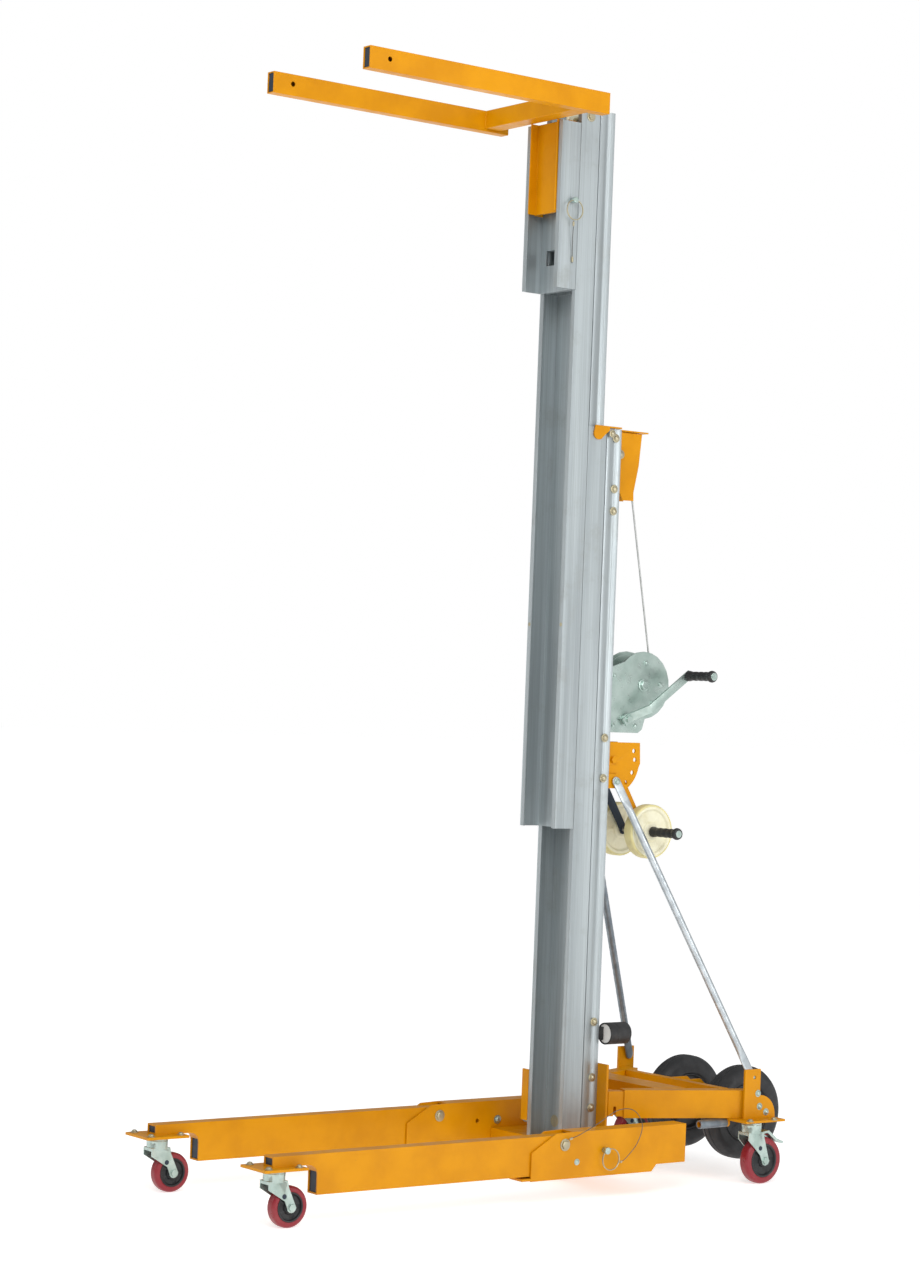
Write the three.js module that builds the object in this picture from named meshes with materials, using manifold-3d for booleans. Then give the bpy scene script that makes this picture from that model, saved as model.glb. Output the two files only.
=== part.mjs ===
// A hand-winch material lift: a telescopic aluminium mast on a wheeled steel base,
// with a lifting fork on its carriage. Millimetres, +Z up, forks pointing -Y.
import * as THREE from 'three';
import { mergeVertices } from 'three/addons/utils/BufferGeometryUtils.js';
import Module from 'manifold-3d';

const wasm = await Module();
wasm.setup();

// ---------- driving dimensions ----------
const GAP = 0.3; // free space between neighbouring pieces
const SLIDE_GAP = 1; // running space between mast sections
const MAST_WIDTH = 148;
const CHANNEL_DEPTH = 62;
const MAST_WALL = 5;
const LIP_WIDTH = 15;
const ROPE_SLOT = 16;
const BASE_FOOT = 108;
const BASE_TOP = 2000;
const INNER_FOOT = 937;
const INNER_LENGTH = 1899;
const CARRIAGE_FOOT = 2353;
const CARRIAGE_LENGTH = 440;

const FORK_HALF_WIDTH = 228; // to the outer faces
const FORK_TUBE_WIDTH = 30;
const FORK_TUBE_HEIGHT = 55;
const FORK_TOP = 2845;
const FORK_TIP = -854;
const FORK_REAR = -96;
const CROSSBAR_DEPTH = 50;
const CROSSBAR_HEIGHT = 48;
const TONGUE_LENGTH = 236;

const LEG_OUTER = 287;
const LEG_WIDTH = 40;
const LEG_TOP = 173;
const LEG_HEIGHT = 98;
const LEG_TIP = -1047;
const LEG_STEP = -919; // where the full-height tube begins
const LEG_TIP_HEIGHT = 25.5;
const LEG_TAIL = 144; // behind the pivot
const PIVOT_Y = -167;
const PIVOT_Z = 149;
const BRACKET_REAR = 240;
const BRACKET_PLATE = 5;

const FRONT_WHEEL_RADIUS = 50;
const REAR_WHEEL_RADIUS = 62.5;
const TRANSPORT_RADIUS = 127;
const ARM_TOP = 249;
const ARM_HEIGHT = 74;
const ARM_END_X = 240;
const ARM_END_Y = 500;

const DRUM_Y = 253;
const DRUM_Z = 1322;
const CRANK_Y = 193;
const CRANK_Z = 1230;
const CRANK_RADIUS = 208;
const CRANK_ANGLE = 35.9; // degrees above the rearward horizontal
const ROPE_RADIUS = 2.5;
const SHEAVE_RADIUS = 48; // to the middle of the rope
const LOADING_PIVOT_Y = 148;
const LOADING_PIVOT_Z = 1120;
const LOADING_AXLE_Y = 268;
const LOADING_AXLE_Z = 930;
const BRACE_RADIUS = 10;

// ---------- materials ----------
const paint = (name, color, roughness, metalness) =>
  new THREE.MeshStandardMaterial({ name, color, roughness, metalness });
const YELLOW = paint('yellow_paint', 0xf2a800, 0.4, 0.1);
const ALUMINIUM = paint('mill_aluminium', 0xb9bfc0, 0.42, 0.9);
const ZINC = paint('zinc_plate', 0xc3ccd0, 0.35, 0.9);
const GALVANISED = paint('galvanised_steel', 0xa9b3b8, 0.45, 0.85);
const STEEL = paint('steel', 0x8d8f8c, 0.35, 0.9);
const RUBBER = paint('black_rubber', 0x17181a, 0.75, 0);
const NYLON = paint('cream_nylon', 0xe9e2b4, 0.5, 0);
const MAROON = paint('maroon_tread', 0x7c1622, 0.45, 0);
const DARK = paint('dark_steel', 0x2b3440, 0.5, 0.6);

// ---------- geometry helpers ----------
const rad = THREE.MathUtils.degToRad;
const AXES = {
  x: [new THREE.Vector3(0, 1, 0), new THREE.Vector3(0, 0, 1), new THREE.Vector3(1, 0, 0)],
  y: [new THREE.Vector3(1, 0, 0), new THREE.Vector3(0, 0, 1), new THREE.Vector3(0, -1, 0)],
  z: [new THREE.Vector3(1, 0, 0), new THREE.Vector3(0, 1, 0), new THREE.Vector3(0, 0, 1)],
};

// A flat outline pushed along one axis from low to high. The outline is in the
// other two axes, in X, Y, Z order.
function prism(points, axis, low, high, holes = []) {
  const shape = new THREE.Shape(points.map((p) => new THREE.Vector2(p[0], p[1])));
  for (const hole of holes) {
    shape.holes.push(new THREE.Path(hole.map((p) => new THREE.Vector2(p[0], p[1]))));
  }
  const body = new THREE.ExtrudeGeometry(shape, { depth: high - low, bevelEnabled: false });
  body.applyMatrix4(new THREE.Matrix4().makeBasis(...AXES[axis]));
  const shift = { x: [low, 0, 0], y: [0, high, 0], z: [0, 0, low] }[axis];
  return body.translate(...shift);
}

function block(x0, x1, y0, y1, z0, z1) {
  return prism([[x0, y0], [x1, y0], [x1, y1], [x0, y1]], 'z', z0, z1);
}

function circle(u, v, radius, count = 24) {
  return Array.from({ length: count }, (_, i) => {
    const turn = (i / count) * Math.PI * 2;
    return [u + radius * Math.cos(turn), v + radius * Math.sin(turn)];
  });
}

function arc(u, v, radius, from, to, count = 8) {
  return Array.from({ length: count + 1 }, (_, i) => {
    const turn = rad(from + ((to - from) * i) / count);
    return [u + radius * Math.cos(turn), v + radius * Math.sin(turn)];
  });
}

function rod(axis, u, v, radius, low, high, count = 16) {
  return prism(circle(u, v, radius, count), axis, low, high);
}

// A body turned about a line along X. The profile is [radius, x] and closes on itself.
function turned(profile, y, z, count = 20) {
  const points = [...profile, profile[0]].map((p) => new THREE.Vector2(p[0], -p[1])).reverse();
  const body = new THREE.LatheGeometry(points, count);
  body.rotateZ(Math.PI / 2);
  return body.translate(0, y, z);
}

function cord(path, radius, steps, sides = 8, closed = false) {
  const curve = new THREE.CatmullRomCurve3(path.map((p) => new THREE.Vector3(...p)), closed);
  const shape = new THREE.Shape(circle(0, 0, radius, sides).map((p) => new THREE.Vector2(...p)));
  return new THREE.ExtrudeGeometry(shape, { steps, extrudePath: curve, bevelEnabled: false });
}

function toSolid(source) {
  const bare = source.index ? source.toNonIndexed() : source.clone();
  bare.deleteAttribute('normal');
  bare.deleteAttribute('uv');
  const merged = mergeVertices(bare, 1e-4);
  const position = merged.attributes.position.array;
  const corners = merged.index.array;
  const kept = [];
  for (let i = 0; i < corners.length; i += 3) {
    const [a, b, c] = [corners[i], corners[i + 1], corners[i + 2]];
    if (a !== b && b !== c && c !== a) {
      kept.push(a, b, c);
    }
  }
  return new wasm.Manifold(new wasm.Mesh({
    numProp: 3,
    vertProperties: new Float32Array(position),
    triVerts: new Uint32Array(kept),
  }));
}

function fromSolid(solid) {
  const data = solid.getMesh();
  const body = new THREE.BufferGeometry();
  body.setAttribute('position', new THREE.Float32BufferAttribute(data.vertProperties, 3));
  body.setIndex(Array.from(data.triVerts));
  body.computeVertexNormals();
  return body;
}

function join(...pieces) {
  return fromSolid(pieces.map(toSolid).reduce((all, piece) => all.add(piece)));
}

function cut(body, ...tools) {
  return fromSolid(tools.map(toSolid).reduce((rest, tool) => rest.subtract(tool), toSolid(body)));
}

const mirrored = (points) => points.map((p) => [-p[0], p[1]]);

const lift = new THREE.Group();

function add(name, body, material) {
  const mesh = new THREE.Mesh(body, material);
  mesh.name = name;
  lift.add(mesh);
}

// ---------- mast ----------
const HALF = MAST_WIDTH / 2;
const LIP = HALF - LIP_WIDTH;
const NECK = LIP - 2;
const NECK_END = CHANNEL_DEPTH + MAST_WALL + 2 * SLIDE_GAP;
const HEAD = HALF - MAST_WALL - SLIDE_GAP;
const HEAD_DEPTH = CHANNEL_DEPTH - 2 * MAST_WALL - 2 * SLIDE_GAP;
const SECTION_DEPTH = NECK_END + HEAD_DEPTH;
const STEP = CHANNEL_DEPTH + SLIDE_GAP;
const MAST_REAR = SECTION_DEPTH;

// One extrusion: a lipped channel in front, a neck, and a hollow head behind that
// runs in the channel of the next section.
function section(front, foot, length) {
  const wall = MAST_WALL;
  const inside = HALF - wall;
  const side = [
    [LIP, 0], [HALF, 0], [HALF, CHANNEL_DEPTH], [NECK, CHANNEL_DEPTH], [NECK, NECK_END],
    [HEAD, NECK_END], [HEAD, NECK_END + 20], [HEAD - 1.5, NECK_END + 22],
    [HEAD - 1.5, NECK_END + 30], [HEAD, NECK_END + 32], [HEAD, SECTION_DEPTH],
    [ROPE_SLOT / 2, SECTION_DEPTH], [ROPE_SLOT / 2, SECTION_DEPTH - wall],
    [HEAD - wall, SECTION_DEPTH - wall], [HEAD - wall, NECK_END + wall],
  ];
  const lip = [[inside, CHANNEL_DEPTH - wall], [inside, wall], [LIP, wall]];
  const outline = [...side, ...mirrored(side).reverse(), ...mirrored(lip).reverse(), ...lip];
  const hollow = [
    [-NECK + wall, CHANNEL_DEPTH + 0.7], [NECK - wall, CHANNEL_DEPTH + 0.7],
    [NECK - wall, NECK_END - 0.6], [-NECK + wall, NECK_END - 0.6],
  ];
  return prism(outline, 'z', foot, foot + length, [hollow]).translate(0, front, 0);
}

const INNER_TOP = INNER_FOOT + INNER_LENGTH;
const CARRIAGE_TOP = CARRIAGE_FOOT + CARRIAGE_LENGTH;
const INNER_AXLE_Y = -STEP + 31;
const INNER_AXLE_Z = INNER_TOP - 22;
const PIN_Y = -2 * STEP + 41;
const PIN_Z = CARRIAGE_TOP - TONGUE_LENGTH + 28;
const PIN_RADIUS = 5;
add('base_mast', section(0, BASE_FOOT, BASE_TOP - BASE_FOOT), ALUMINIUM);
add('inner_mast', cut(
  section(-STEP, INNER_FOOT, INNER_LENGTH),
  rod('x', INNER_AXLE_Y, INNER_AXLE_Z, 6.3, -HALF - 1, HALF + 1),
), ALUMINIUM);
add('carriage', cut(
  section(-2 * STEP, CARRIAGE_FOOT, CARRIAGE_LENGTH),
  rod('x', PIN_Y, PIN_Z, PIN_RADIUS + 0.1, HALF - MAST_WALL - 1, HALF + 1),
  block(-47, -13, -STEP - 10, -STEP + 20, CARRIAGE_FOOT + 72, CARRIAGE_FOOT + 112),
), ALUMINIUM);

// Small pulley at the top of the inner mast, for the carriage's rope.
add('inner_axle', join(
  rod('x', INNER_AXLE_Y, INNER_AXLE_Z, 6, -HALF - 0.5, HALF + 0.5),
  rod('x', INNER_AXLE_Y, INNER_AXLE_Z, 10, -HALF - 7.5, -HALF - GAP, 6),
  rod('x', INNER_AXLE_Y, INNER_AXLE_Z, 10, HALF + GAP, HALF + 7.5, 6),
), STEEL);
add('inner_sheave', turned([
  [6.2, -8], [19, -8], [19, -6], [14, -2.5], [14, 2.5], [19, 6], [19, 8], [6.2, 8],
], INNER_AXLE_Y, INNER_AXLE_Z, 16), NYLON);
add('inner_top_bracket', join(
  block(-30, 30, -4, 48, INNER_TOP + GAP, INNER_TOP + 4),
  block(14, 18, -4, 44, INNER_TOP + 2, INNER_TOP + 22),
), ALUMINIUM);

// ---------- fork ----------
const FORK_INNER = FORK_HALF_WIDTH - FORK_TUBE_WIDTH;
const CROSSBAR_FRONT = -175;
const CROSSBAR_FOOT = FORK_TOP - CROSSBAR_HEIGHT;
const TUBE_WALL = 3;

function tubeAlongY(x0, x1, y0, y1, z0, z1, wall) {
  return cut(
    block(x0, x1, y0, y1, z0, z1),
    block(x0 + wall, x1 - wall, y0 - 1, y1 + 1, z0 + wall, z1 - wall),
  );
}

for (const [side, name] of [[1, 'left'], [-1, 'right']]) {
  const x0 = side > 0 ? FORK_INNER : -FORK_HALF_WIDTH;
  const foot = FORK_TOP - FORK_TUBE_HEIGHT;
  const tube = tubeAlongY(
    x0, x0 + FORK_TUBE_WIDTH, FORK_TIP, FORK_REAR - 4, foot, FORK_TOP, TUBE_WALL,
  );
  const cap = block(x0, x0 + FORK_TUBE_WIDTH, FORK_REAR - 5, FORK_REAR, foot, FORK_TOP);
  const hole = rod('x', FORK_TIP + 60, FORK_TOP - 25, 6.5, x0 - 1, x0 + FORK_TUBE_WIDTH + 1, 16);
  add(`fork_${name}`, cut(join(tube, cap), hole), YELLOW);
}
const CROSSBAR_HALF = FORK_INNER - GAP;
const CROSSBAR_REAR = CROSSBAR_FRONT + CROSSBAR_DEPTH;
add('fork_crossbar', cut(
  block(-CROSSBAR_HALF, CROSSBAR_HALF, CROSSBAR_FRONT, CROSSBAR_REAR, CROSSBAR_FOOT, FORK_TOP),
  block(-CROSSBAR_HALF - 1, CROSSBAR_HALF + 1, CROSSBAR_FRONT + 3, CROSSBAR_REAR - 3,
    CROSSBAR_FOOT + 3, FORK_TOP - 3),
), YELLOW);

// The tongue has an H section: flanges to the front, and flanges to the rear that
// are wider than the mouth of the carriage's channel, which hold it in.
const TONGUE_TOP = CROSSBAR_FOOT - GAP;
const TONGUE_FOOT = CARRIAGE_TOP - TONGUE_LENGTH;
const WEB_Y = -2 * STEP + 20;
const TONGUE_HALF = NECK;
const TONGUE_WIDE = HALF - MAST_WALL - 3;
const tongueSide = [
  [TONGUE_HALF, WEB_Y - 24], [TONGUE_HALF, WEB_Y + 5], [TONGUE_WIDE, WEB_Y + 5],
  [TONGUE_WIDE, WEB_Y + 33], [TONGUE_WIDE - 4, WEB_Y + 33], [TONGUE_WIDE - 4, WEB_Y + 9],
];
const tongueInner = [[TONGUE_HALF - 4, WEB_Y], [TONGUE_HALF - 4, WEB_Y - 24]];
add('fork_tongue', cut(
  prism(
    [...tongueSide, ...mirrored(tongueSide).reverse(), ...mirrored(tongueInner).reverse(),
      ...tongueInner],
    'z', TONGUE_FOOT, TONGUE_TOP,
  ),
  rod('x', PIN_Y, PIN_Z, PIN_RADIUS + 0.6, TONGUE_WIDE - 5, TONGUE_WIDE + 1, 16),
), YELLOW);

// A pull pin with a split ring, its head outwards along X. It is drawn back just
// clear of the piece that it locks.
function pullPin(y, z, tip, face, radius, ringY, ringZ, ringRadius) {
  const ring = new THREE.TorusGeometry(ringRadius, 1.5, 5, 20);
  ring.rotateY(Math.PI / 2);
  ring.translate(face + 13, ringY, ringZ);
  return join(
    rod('x', y, z, radius, tip, face + 10, 16),
    rod('x', y, z, radius + 3, face + 8, face + 18, 16),
    ring,
  );
}
const FORK_RING = 26;
add('fork_pin', pullPin(PIN_Y, PIN_Z, TONGUE_WIDE + 1, HALF, PIN_RADIUS, PIN_Y,
  PIN_Z - FORK_RING, FORK_RING), STEEL);
add('fork_pin_lanyard', cord([
  [HALF + 14, PIN_Y - 4, PIN_Z - 2 * FORK_RING - 3],
  [HALF + 9, PIN_Y - 1, PIN_Z - 2 * FORK_RING - 35],
  [HALF + 4, PIN_Y + 3, PIN_Z - 2 * FORK_RING - 75],
  [HALF + 2, PIN_Y + 6, PIN_Z - 2 * FORK_RING - 112],
], 1, 12), STEEL);

// ---------- base top, sheave and rope ----------
const SHEAVE_Y = MAST_REAR + 31;
const SHEAVE_Z = BASE_TOP - 62;
const PLATE_Y = STEP - 5;
add('mast_top_plate', join(
  prism([
    [-HALF - 5, PLATE_Y], [HALF + 5, PLATE_Y], [HALF + 5, MAST_REAR - 8], [30, MAST_REAR + 4],
    [27, 248], [-27, 248], [-30, MAST_REAR + 4], [-HALF - 5, MAST_REAR - 8],
  ], 'z', BASE_TOP + GAP, BASE_TOP + 4.3),
  ...[-1, 1].map((side) => prism([
    [PLATE_Y + 12, BASE_TOP + 4.3], [20, BASE_TOP + 4.3], ...arc(33, 1983, 17, 150, 330, 8),
    [PLATE_Y + 12, BASE_TOP - 6],
  ], 'x', side > 0 ? HALF + GAP : -HALF - 5, side > 0 ? HALF + 5 : -HALF - GAP)),
), YELLOW);
const housing = [
  [MAST_REAR + GAP, BASE_TOP - 1], [229, BASE_TOP - 1], [221, 1912], [206, 1839], [207, 1817],
  [168, 1816], [150, 1850], [MAST_REAR + GAP, 1880],
];
add('sheave_housing', join(
  prism(housing, 'x', 19, 23),
  prism(housing, 'x', -23, -19),
  block(-23, 23, MAST_REAR + GAP + 60, 226, BASE_TOP - 5, BASE_TOP - 1),
  rod('x', SHEAVE_Y, SHEAVE_Z, 8, -23, 23, 20),
  rod('x', SHEAVE_Y, SHEAVE_Z, 12, 22, 30, 6),
), YELLOW);
add('rope_sheave', turned([
  [8.2, -7], [54, -7], [54, -5], [SHEAVE_RADIUS - 5, -3.5], [SHEAVE_RADIUS - 5, 3.5], [54, 5],
  [54, 7], [8.2, 7],
], SHEAVE_Y, SHEAVE_Z, 20), DARK);

// The rope leaves the drum at the rear, rises to the sheave, and goes down inside the mast.
const WOUND_RADIUS = 58;
const ROPE_ON_DRUM = WOUND_RADIUS + ROPE_RADIUS + 1.6;
const ROPE_FOOT = BASE_TOP - 900;
const spanY = SHEAVE_Y - DRUM_Y;
const spanZ = SHEAVE_Z - DRUM_Z;
const span = Math.hypot(spanY, spanZ);
const lean = Math.asin((ROPE_ON_DRUM - SHEAVE_RADIUS) / span);
const facing = Math.atan2(spanZ, spanY) - Math.PI / 2 + lean;
const onCircle = (y, z, radius, turn) => [0, y + radius * Math.cos(turn), z + radius * Math.sin(turn)];
const ropePath = [];
for (let i = 4; i > 0; i -= 1) {
  ropePath.push(onCircle(DRUM_Y, DRUM_Z, ROPE_ON_DRUM, facing - i * rad(9)));
}
const leave = onCircle(DRUM_Y, DRUM_Z, ROPE_ON_DRUM, facing);
const arrive = onCircle(SHEAVE_Y, SHEAVE_Z, SHEAVE_RADIUS, facing);
for (let i = 0; i <= 8; i += 1) {
  ropePath.push(leave.map((value, axis) => value + ((arrive[axis] - value) * i) / 8));
}
for (let i = 1; i <= 12; i += 1) {
  ropePath.push(onCircle(SHEAVE_Y, SHEAVE_Z, SHEAVE_RADIUS, facing + ((Math.PI - facing) * i) / 12));
}
for (let i = 1; i <= 8; i += 1) {
  ropePath.push([0, SHEAVE_Y - SHEAVE_RADIUS, SHEAVE_Z + ((ROPE_FOOT - SHEAVE_Z) * i) / 8]);
}
add('wire_rope', cord(ropePath, ROPE_RADIUS, 78), STEEL);

// ---------- winch ----------
const FRAME_SIDE = 38;
const frameOutline = [
  [MAST_REAR + 2, 1193], [240, 1193], [254, 1203],
  ...arc(DRUM_Y, DRUM_Z, 91, -84, 138, 14), [MAST_REAR + 2, 1362],
];
const crankBore = circle(CRANK_Y, CRANK_Z, 8.4, 12);
const drumBore = circle(DRUM_Y, DRUM_Z, 9.45, 12);
add('winch_frame', join(
  prism(frameOutline, 'x', FRAME_SIDE - 4, FRAME_SIDE, [crankBore, drumBore]),
  prism(frameOutline, 'x', -FRAME_SIDE, -FRAME_SIDE + 4, [crankBore, drumBore]),
  block(-FRAME_SIDE, FRAME_SIDE, MAST_REAR + GAP, MAST_REAR + 4, 1193, 1362),
), ZINC);
add('winch_drum', join(
  rod('x', DRUM_Y, DRUM_Z, WOUND_RADIUS, -29, 15, 24),
  rod('x', DRUM_Y, DRUM_Z, 84, -32, -29, 24),
  rod('x', DRUM_Y, DRUM_Z, 84, 14, 17, 24),
  rod('x', DRUM_Y, DRUM_Z, 79, 17, 26, 24),
  rod('x', DRUM_Y, DRUM_Z, 9, -FRAME_SIDE - 3, FRAME_SIDE + 3, 12),
  rod('x', DRUM_Y, DRUM_Z, 13, FRAME_SIDE + 1, FRAME_SIDE + 9, 6),
  rod('x', DRUM_Y, DRUM_Z, 13, -FRAME_SIDE - 9, -FRAME_SIDE - 1, 6),
), ZINC);
const ARM_NEAR = 47;
const ARM_FAR = 91;
const ARM_THICK = 6;
const strap = prism([
  [-16, ARM_NEAR], [10, ARM_NEAR], [54, ARM_FAR], [CRANK_RADIUS + 11, ARM_FAR],
  [CRANK_RADIUS + 11, ARM_FAR + ARM_THICK], [50, ARM_FAR + ARM_THICK],
  [6, ARM_NEAR + ARM_THICK], [-16, ARM_NEAR + ARM_THICK],
], 'z', -11, 11);
strap.applyMatrix4(new THREE.Matrix4().makeBasis(AXES.z[1], AXES.z[0], new THREE.Vector3(0, 0, -1)));
strap.rotateX(rad(CRANK_ANGLE));
strap.translate(0, CRANK_Y, CRANK_Z);
const GRIP_Y = CRANK_Y + CRANK_RADIUS * Math.cos(rad(CRANK_ANGLE));
const GRIP_Z = CRANK_Z + CRANK_RADIUS * Math.sin(rad(CRANK_ANGLE));
const GRIP_START = ARM_FAR + ARM_THICK + 1;
const GRIP_LENGTH = 102;
add('winch_crank', join(
  strap,
  rod('x', CRANK_Y, CRANK_Z, 8, -FRAME_SIDE - 4, ARM_NEAR + 8, 12),
  rod('x', CRANK_Y, CRANK_Z, 28, 18.5, 25.5, 20),
  rod('x', CRANK_Y, CRANK_Z, 9, ARM_NEAR + 5, ARM_NEAR + 12, 6),
  rod('x', CRANK_Y, CRANK_Z, 14, FRAME_SIDE + 1, ARM_NEAR + 1, 14),
  rod('x', GRIP_Y, GRIP_Z, 5, ARM_FAR + 2, GRIP_START + GRIP_LENGTH + 2, 16),
  rod('x', GRIP_Y, GRIP_Z, 8, GRIP_START + GRIP_LENGTH + 1, GRIP_START + GRIP_LENGTH + 4, 16),
), ZINC);

function gripProfile(start, length, bore, way = 1) {
  const along = [[bore, 0], [14, 0], [14, 8], [11.5, 14], [11.5, length - 24], [16, length - 16],
    [16, length - 4], [13, length], [bore, length]];
  const placed = along.map((p) => [p[0], start + way * p[1]]);
  return way > 0 ? placed : placed.reverse();
}
add('crank_grip', turned(gripProfile(GRIP_START, GRIP_LENGTH, 5.25), GRIP_Y, GRIP_Z, 14), RUBBER);

// ---------- loading wheels ----------
const SECTOR_X = 49;
const LOAD_ARM_X = 43;
const LOAD_WHEEL = 47;
const LOAD_WHEEL_WIDTH = 32;
const LOAD_WHEEL_RADIUS = 73;
const indexHoles = [19, 1, -26, -52].map((turn) => circle(
  LOADING_PIVOT_Y + 76 * Math.cos(rad(turn)), LOADING_PIVOT_Z + 76 * Math.sin(rad(turn)), 6, 12,
));
const sector = [
  [MAST_REAR + 2, 1167], [240, 1167], [243, 1112],
  ...arc(LOADING_PIVOT_Y, LOADING_PIVOT_Z, 92, -12, -62, 8), [MAST_REAR + 2, 1090],
];
// One bracket on the mast's rear carries both sectors, the pivot bolt and the brace ears.
const EAR_X = 57;
add('loading_bracket', join(
  prism(sector, 'x', SECTOR_X - 5, SECTOR_X, indexHoles),
  prism(sector, 'x', -SECTOR_X, 5 - SECTOR_X, indexHoles),
  block(-EAR_X, EAR_X, MAST_REAR + GAP, MAST_REAR + 4, 1044, 1167),
  block(EAR_X - 5, EAR_X, MAST_REAR + GAP, 162, 1044, 1082),
  block(-EAR_X, 5 - EAR_X, MAST_REAR + GAP, 162, 1044, 1082),
  rod('x', LOADING_PIVOT_Y, LOADING_PIVOT_Z, 6, -SECTOR_X - 1, SECTOR_X + 1, 16),
  rod('x', LOADING_PIVOT_Y, LOADING_PIVOT_Z, 10, SECTOR_X - 1, SECTOR_X + 7, 6),
  rod('x', LOADING_PIVOT_Y, LOADING_PIVOT_Z, 10, -SECTOR_X - 7, 1 - SECTOR_X, 6),
), YELLOW);
for (const [side, name] of [[1, 'left'], [-1, 'right']]) {
  const at = (value) => side * value;
  const armLow = Math.min(at(LOAD_ARM_X - 5), at(LOAD_ARM_X));
  const dy = LOADING_AXLE_Y - LOADING_PIVOT_Y;
  const dz = LOADING_AXLE_Z - LOADING_PIVOT_Z;
  const reach = Math.hypot(dy, dz);
  const across = [(-dz / reach) * 11, (dy / reach) * 11];
  const slant = Math.atan2(dz, dy) * (180 / Math.PI);
  add(`loading_arm_${name}`, cut(
    prism([
      ...arc(LOADING_PIVOT_Y, LOADING_PIVOT_Z, 13, slant + 90, slant + 270, 8),
      [LOADING_AXLE_Y - across[0], LOADING_AXLE_Z - across[1]],
      ...arc(LOADING_AXLE_Y, LOADING_AXLE_Z, 14, slant - 70, slant + 70, 6),
      [LOADING_AXLE_Y + across[0], LOADING_AXLE_Z + across[1]],
    ], 'x', armLow, armLow + 5),
    rod('x', LOADING_PIVOT_Y, LOADING_PIVOT_Z, 6.35, armLow - 1, armLow + 6, 16),
    rod('x', LOADING_AXLE_Y, LOADING_AXLE_Z, 8.3, armLow - 1, armLow + 6, 16),
  ), side > 0 ? YELLOW : DARK);
  const inner = Math.min(at(LOAD_WHEEL), at(LOAD_WHEEL + LOAD_WHEEL_WIDTH));
  const outer = inner + LOAD_WHEEL_WIDTH;
  add(`loading_wheel_${name}`, turned([
    [8.2, inner], [24, inner], [28, inner + 6], [58, inner + 6], [62, inner],
    [LOAD_WHEEL_RADIUS, inner], [LOAD_WHEEL_RADIUS, outer], [62, outer], [58, outer - 6],
    [28, outer - 6], [24, outer], [8.2, outer],
  ], LOADING_AXLE_Y, LOADING_AXLE_Z), NYLON);
  add(`loading_grip_${name}`, turned(
    gripProfile(side * (LOAD_WHEEL + LOAD_WHEEL_WIDTH + 4), 106, 8.3, side),
    LOADING_AXLE_Y, LOADING_AXLE_Z, 14,
  ), RUBBER);
}
add('loading_axle', rod('x', LOADING_AXLE_Y, LOADING_AXLE_Z, 8, -187, 187, 20), STEEL);

// ---------- braces ----------
const BRACE_TOP = [64, 150, 1062];
const BRACE_FOOT = [254, 503, 284];
for (const [side, name] of [[1, 'left'], [-1, 'right']]) {
  const top = new THREE.Vector3(side * BRACE_TOP[0], BRACE_TOP[1], BRACE_TOP[2]);
  const foot = new THREE.Vector3(side * BRACE_FOOT[0], BRACE_FOOT[1], BRACE_FOOT[2]);
  const direction = foot.clone().sub(top);
  const length = direction.length();
  direction.normalize();
  const tube = new THREE.CylinderGeometry(BRACE_RADIUS, BRACE_RADIUS, length - 84, 16);
  tube.applyQuaternion(new THREE.Quaternion().setFromUnitVectors(
    new THREE.Vector3(0, 1, 0), direction,
  ));
  tube.translate(...top.clone().add(foot).multiplyScalar(0.5).toArray());
  // flattened ends: thin tongues that stand upright beside their brackets
  const flat = (at, way) => {
    const a = at.clone();
    const b = at.clone().addScaledVector(direction, way * 58);
    const slant = Math.atan2(b.z - a.z, b.y - a.y) * (180 / Math.PI);
    const plate = prism([
      ...arc(0, 0, 13, slant + 90, slant + 270, 6),
      ...arc(b.y - a.y, b.z - a.z, 9, slant - 90, slant + 90, 4),
    ], 'x', -2.5, 2.5);
    const lean2 = (b.x - a.x) / 58;
    plate.applyMatrix4(new THREE.Matrix4().set(
      1, lean2 * Math.cos(rad(slant)), lean2 * Math.sin(rad(slant)), 0,
      0, 1, 0, 0, 0, 0, 1, 0, 0, 0, 0, 1,
    ));
    return plate.translate(...a.toArray());
  };
  add(`brace_${name}`, join(tube, flat(top, 1), flat(foot, -1)), GALVANISED);
}

// ---------- base frame ----------
const BRACKET_OUT = LEG_OUTER + 0.7 + BRACKET_PLATE;
const BRACKET_IN = LEG_OUTER - LEG_WIDTH - 0.7 - BRACKET_PLATE;
const BEAM_TOP = BASE_FOOT - GAP;
add('base_cross_beam', cut(
  block(-BRACKET_IN + GAP, BRACKET_IN - GAP, 8, 150, 66, BEAM_TOP),
  block(-BRACKET_IN - 1, BRACKET_IN + 1, 14, 144, 65, BEAM_TOP - 6),
), YELLOW);
// The plate behind the mast turns forward along its right side and ends in a lug.
add('mast_rear_plate', join(
  block(-106, 106, MAST_REAR + GAP, MAST_REAR + 8, BASE_FOOT, 315),
  block(-HALF - 5, -HALF - GAP, -2, MAST_REAR + 8, 150, 286),
  block(-101, -HALF - GAP, -2, 4, 150, 286),
), YELLOW);

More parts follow.
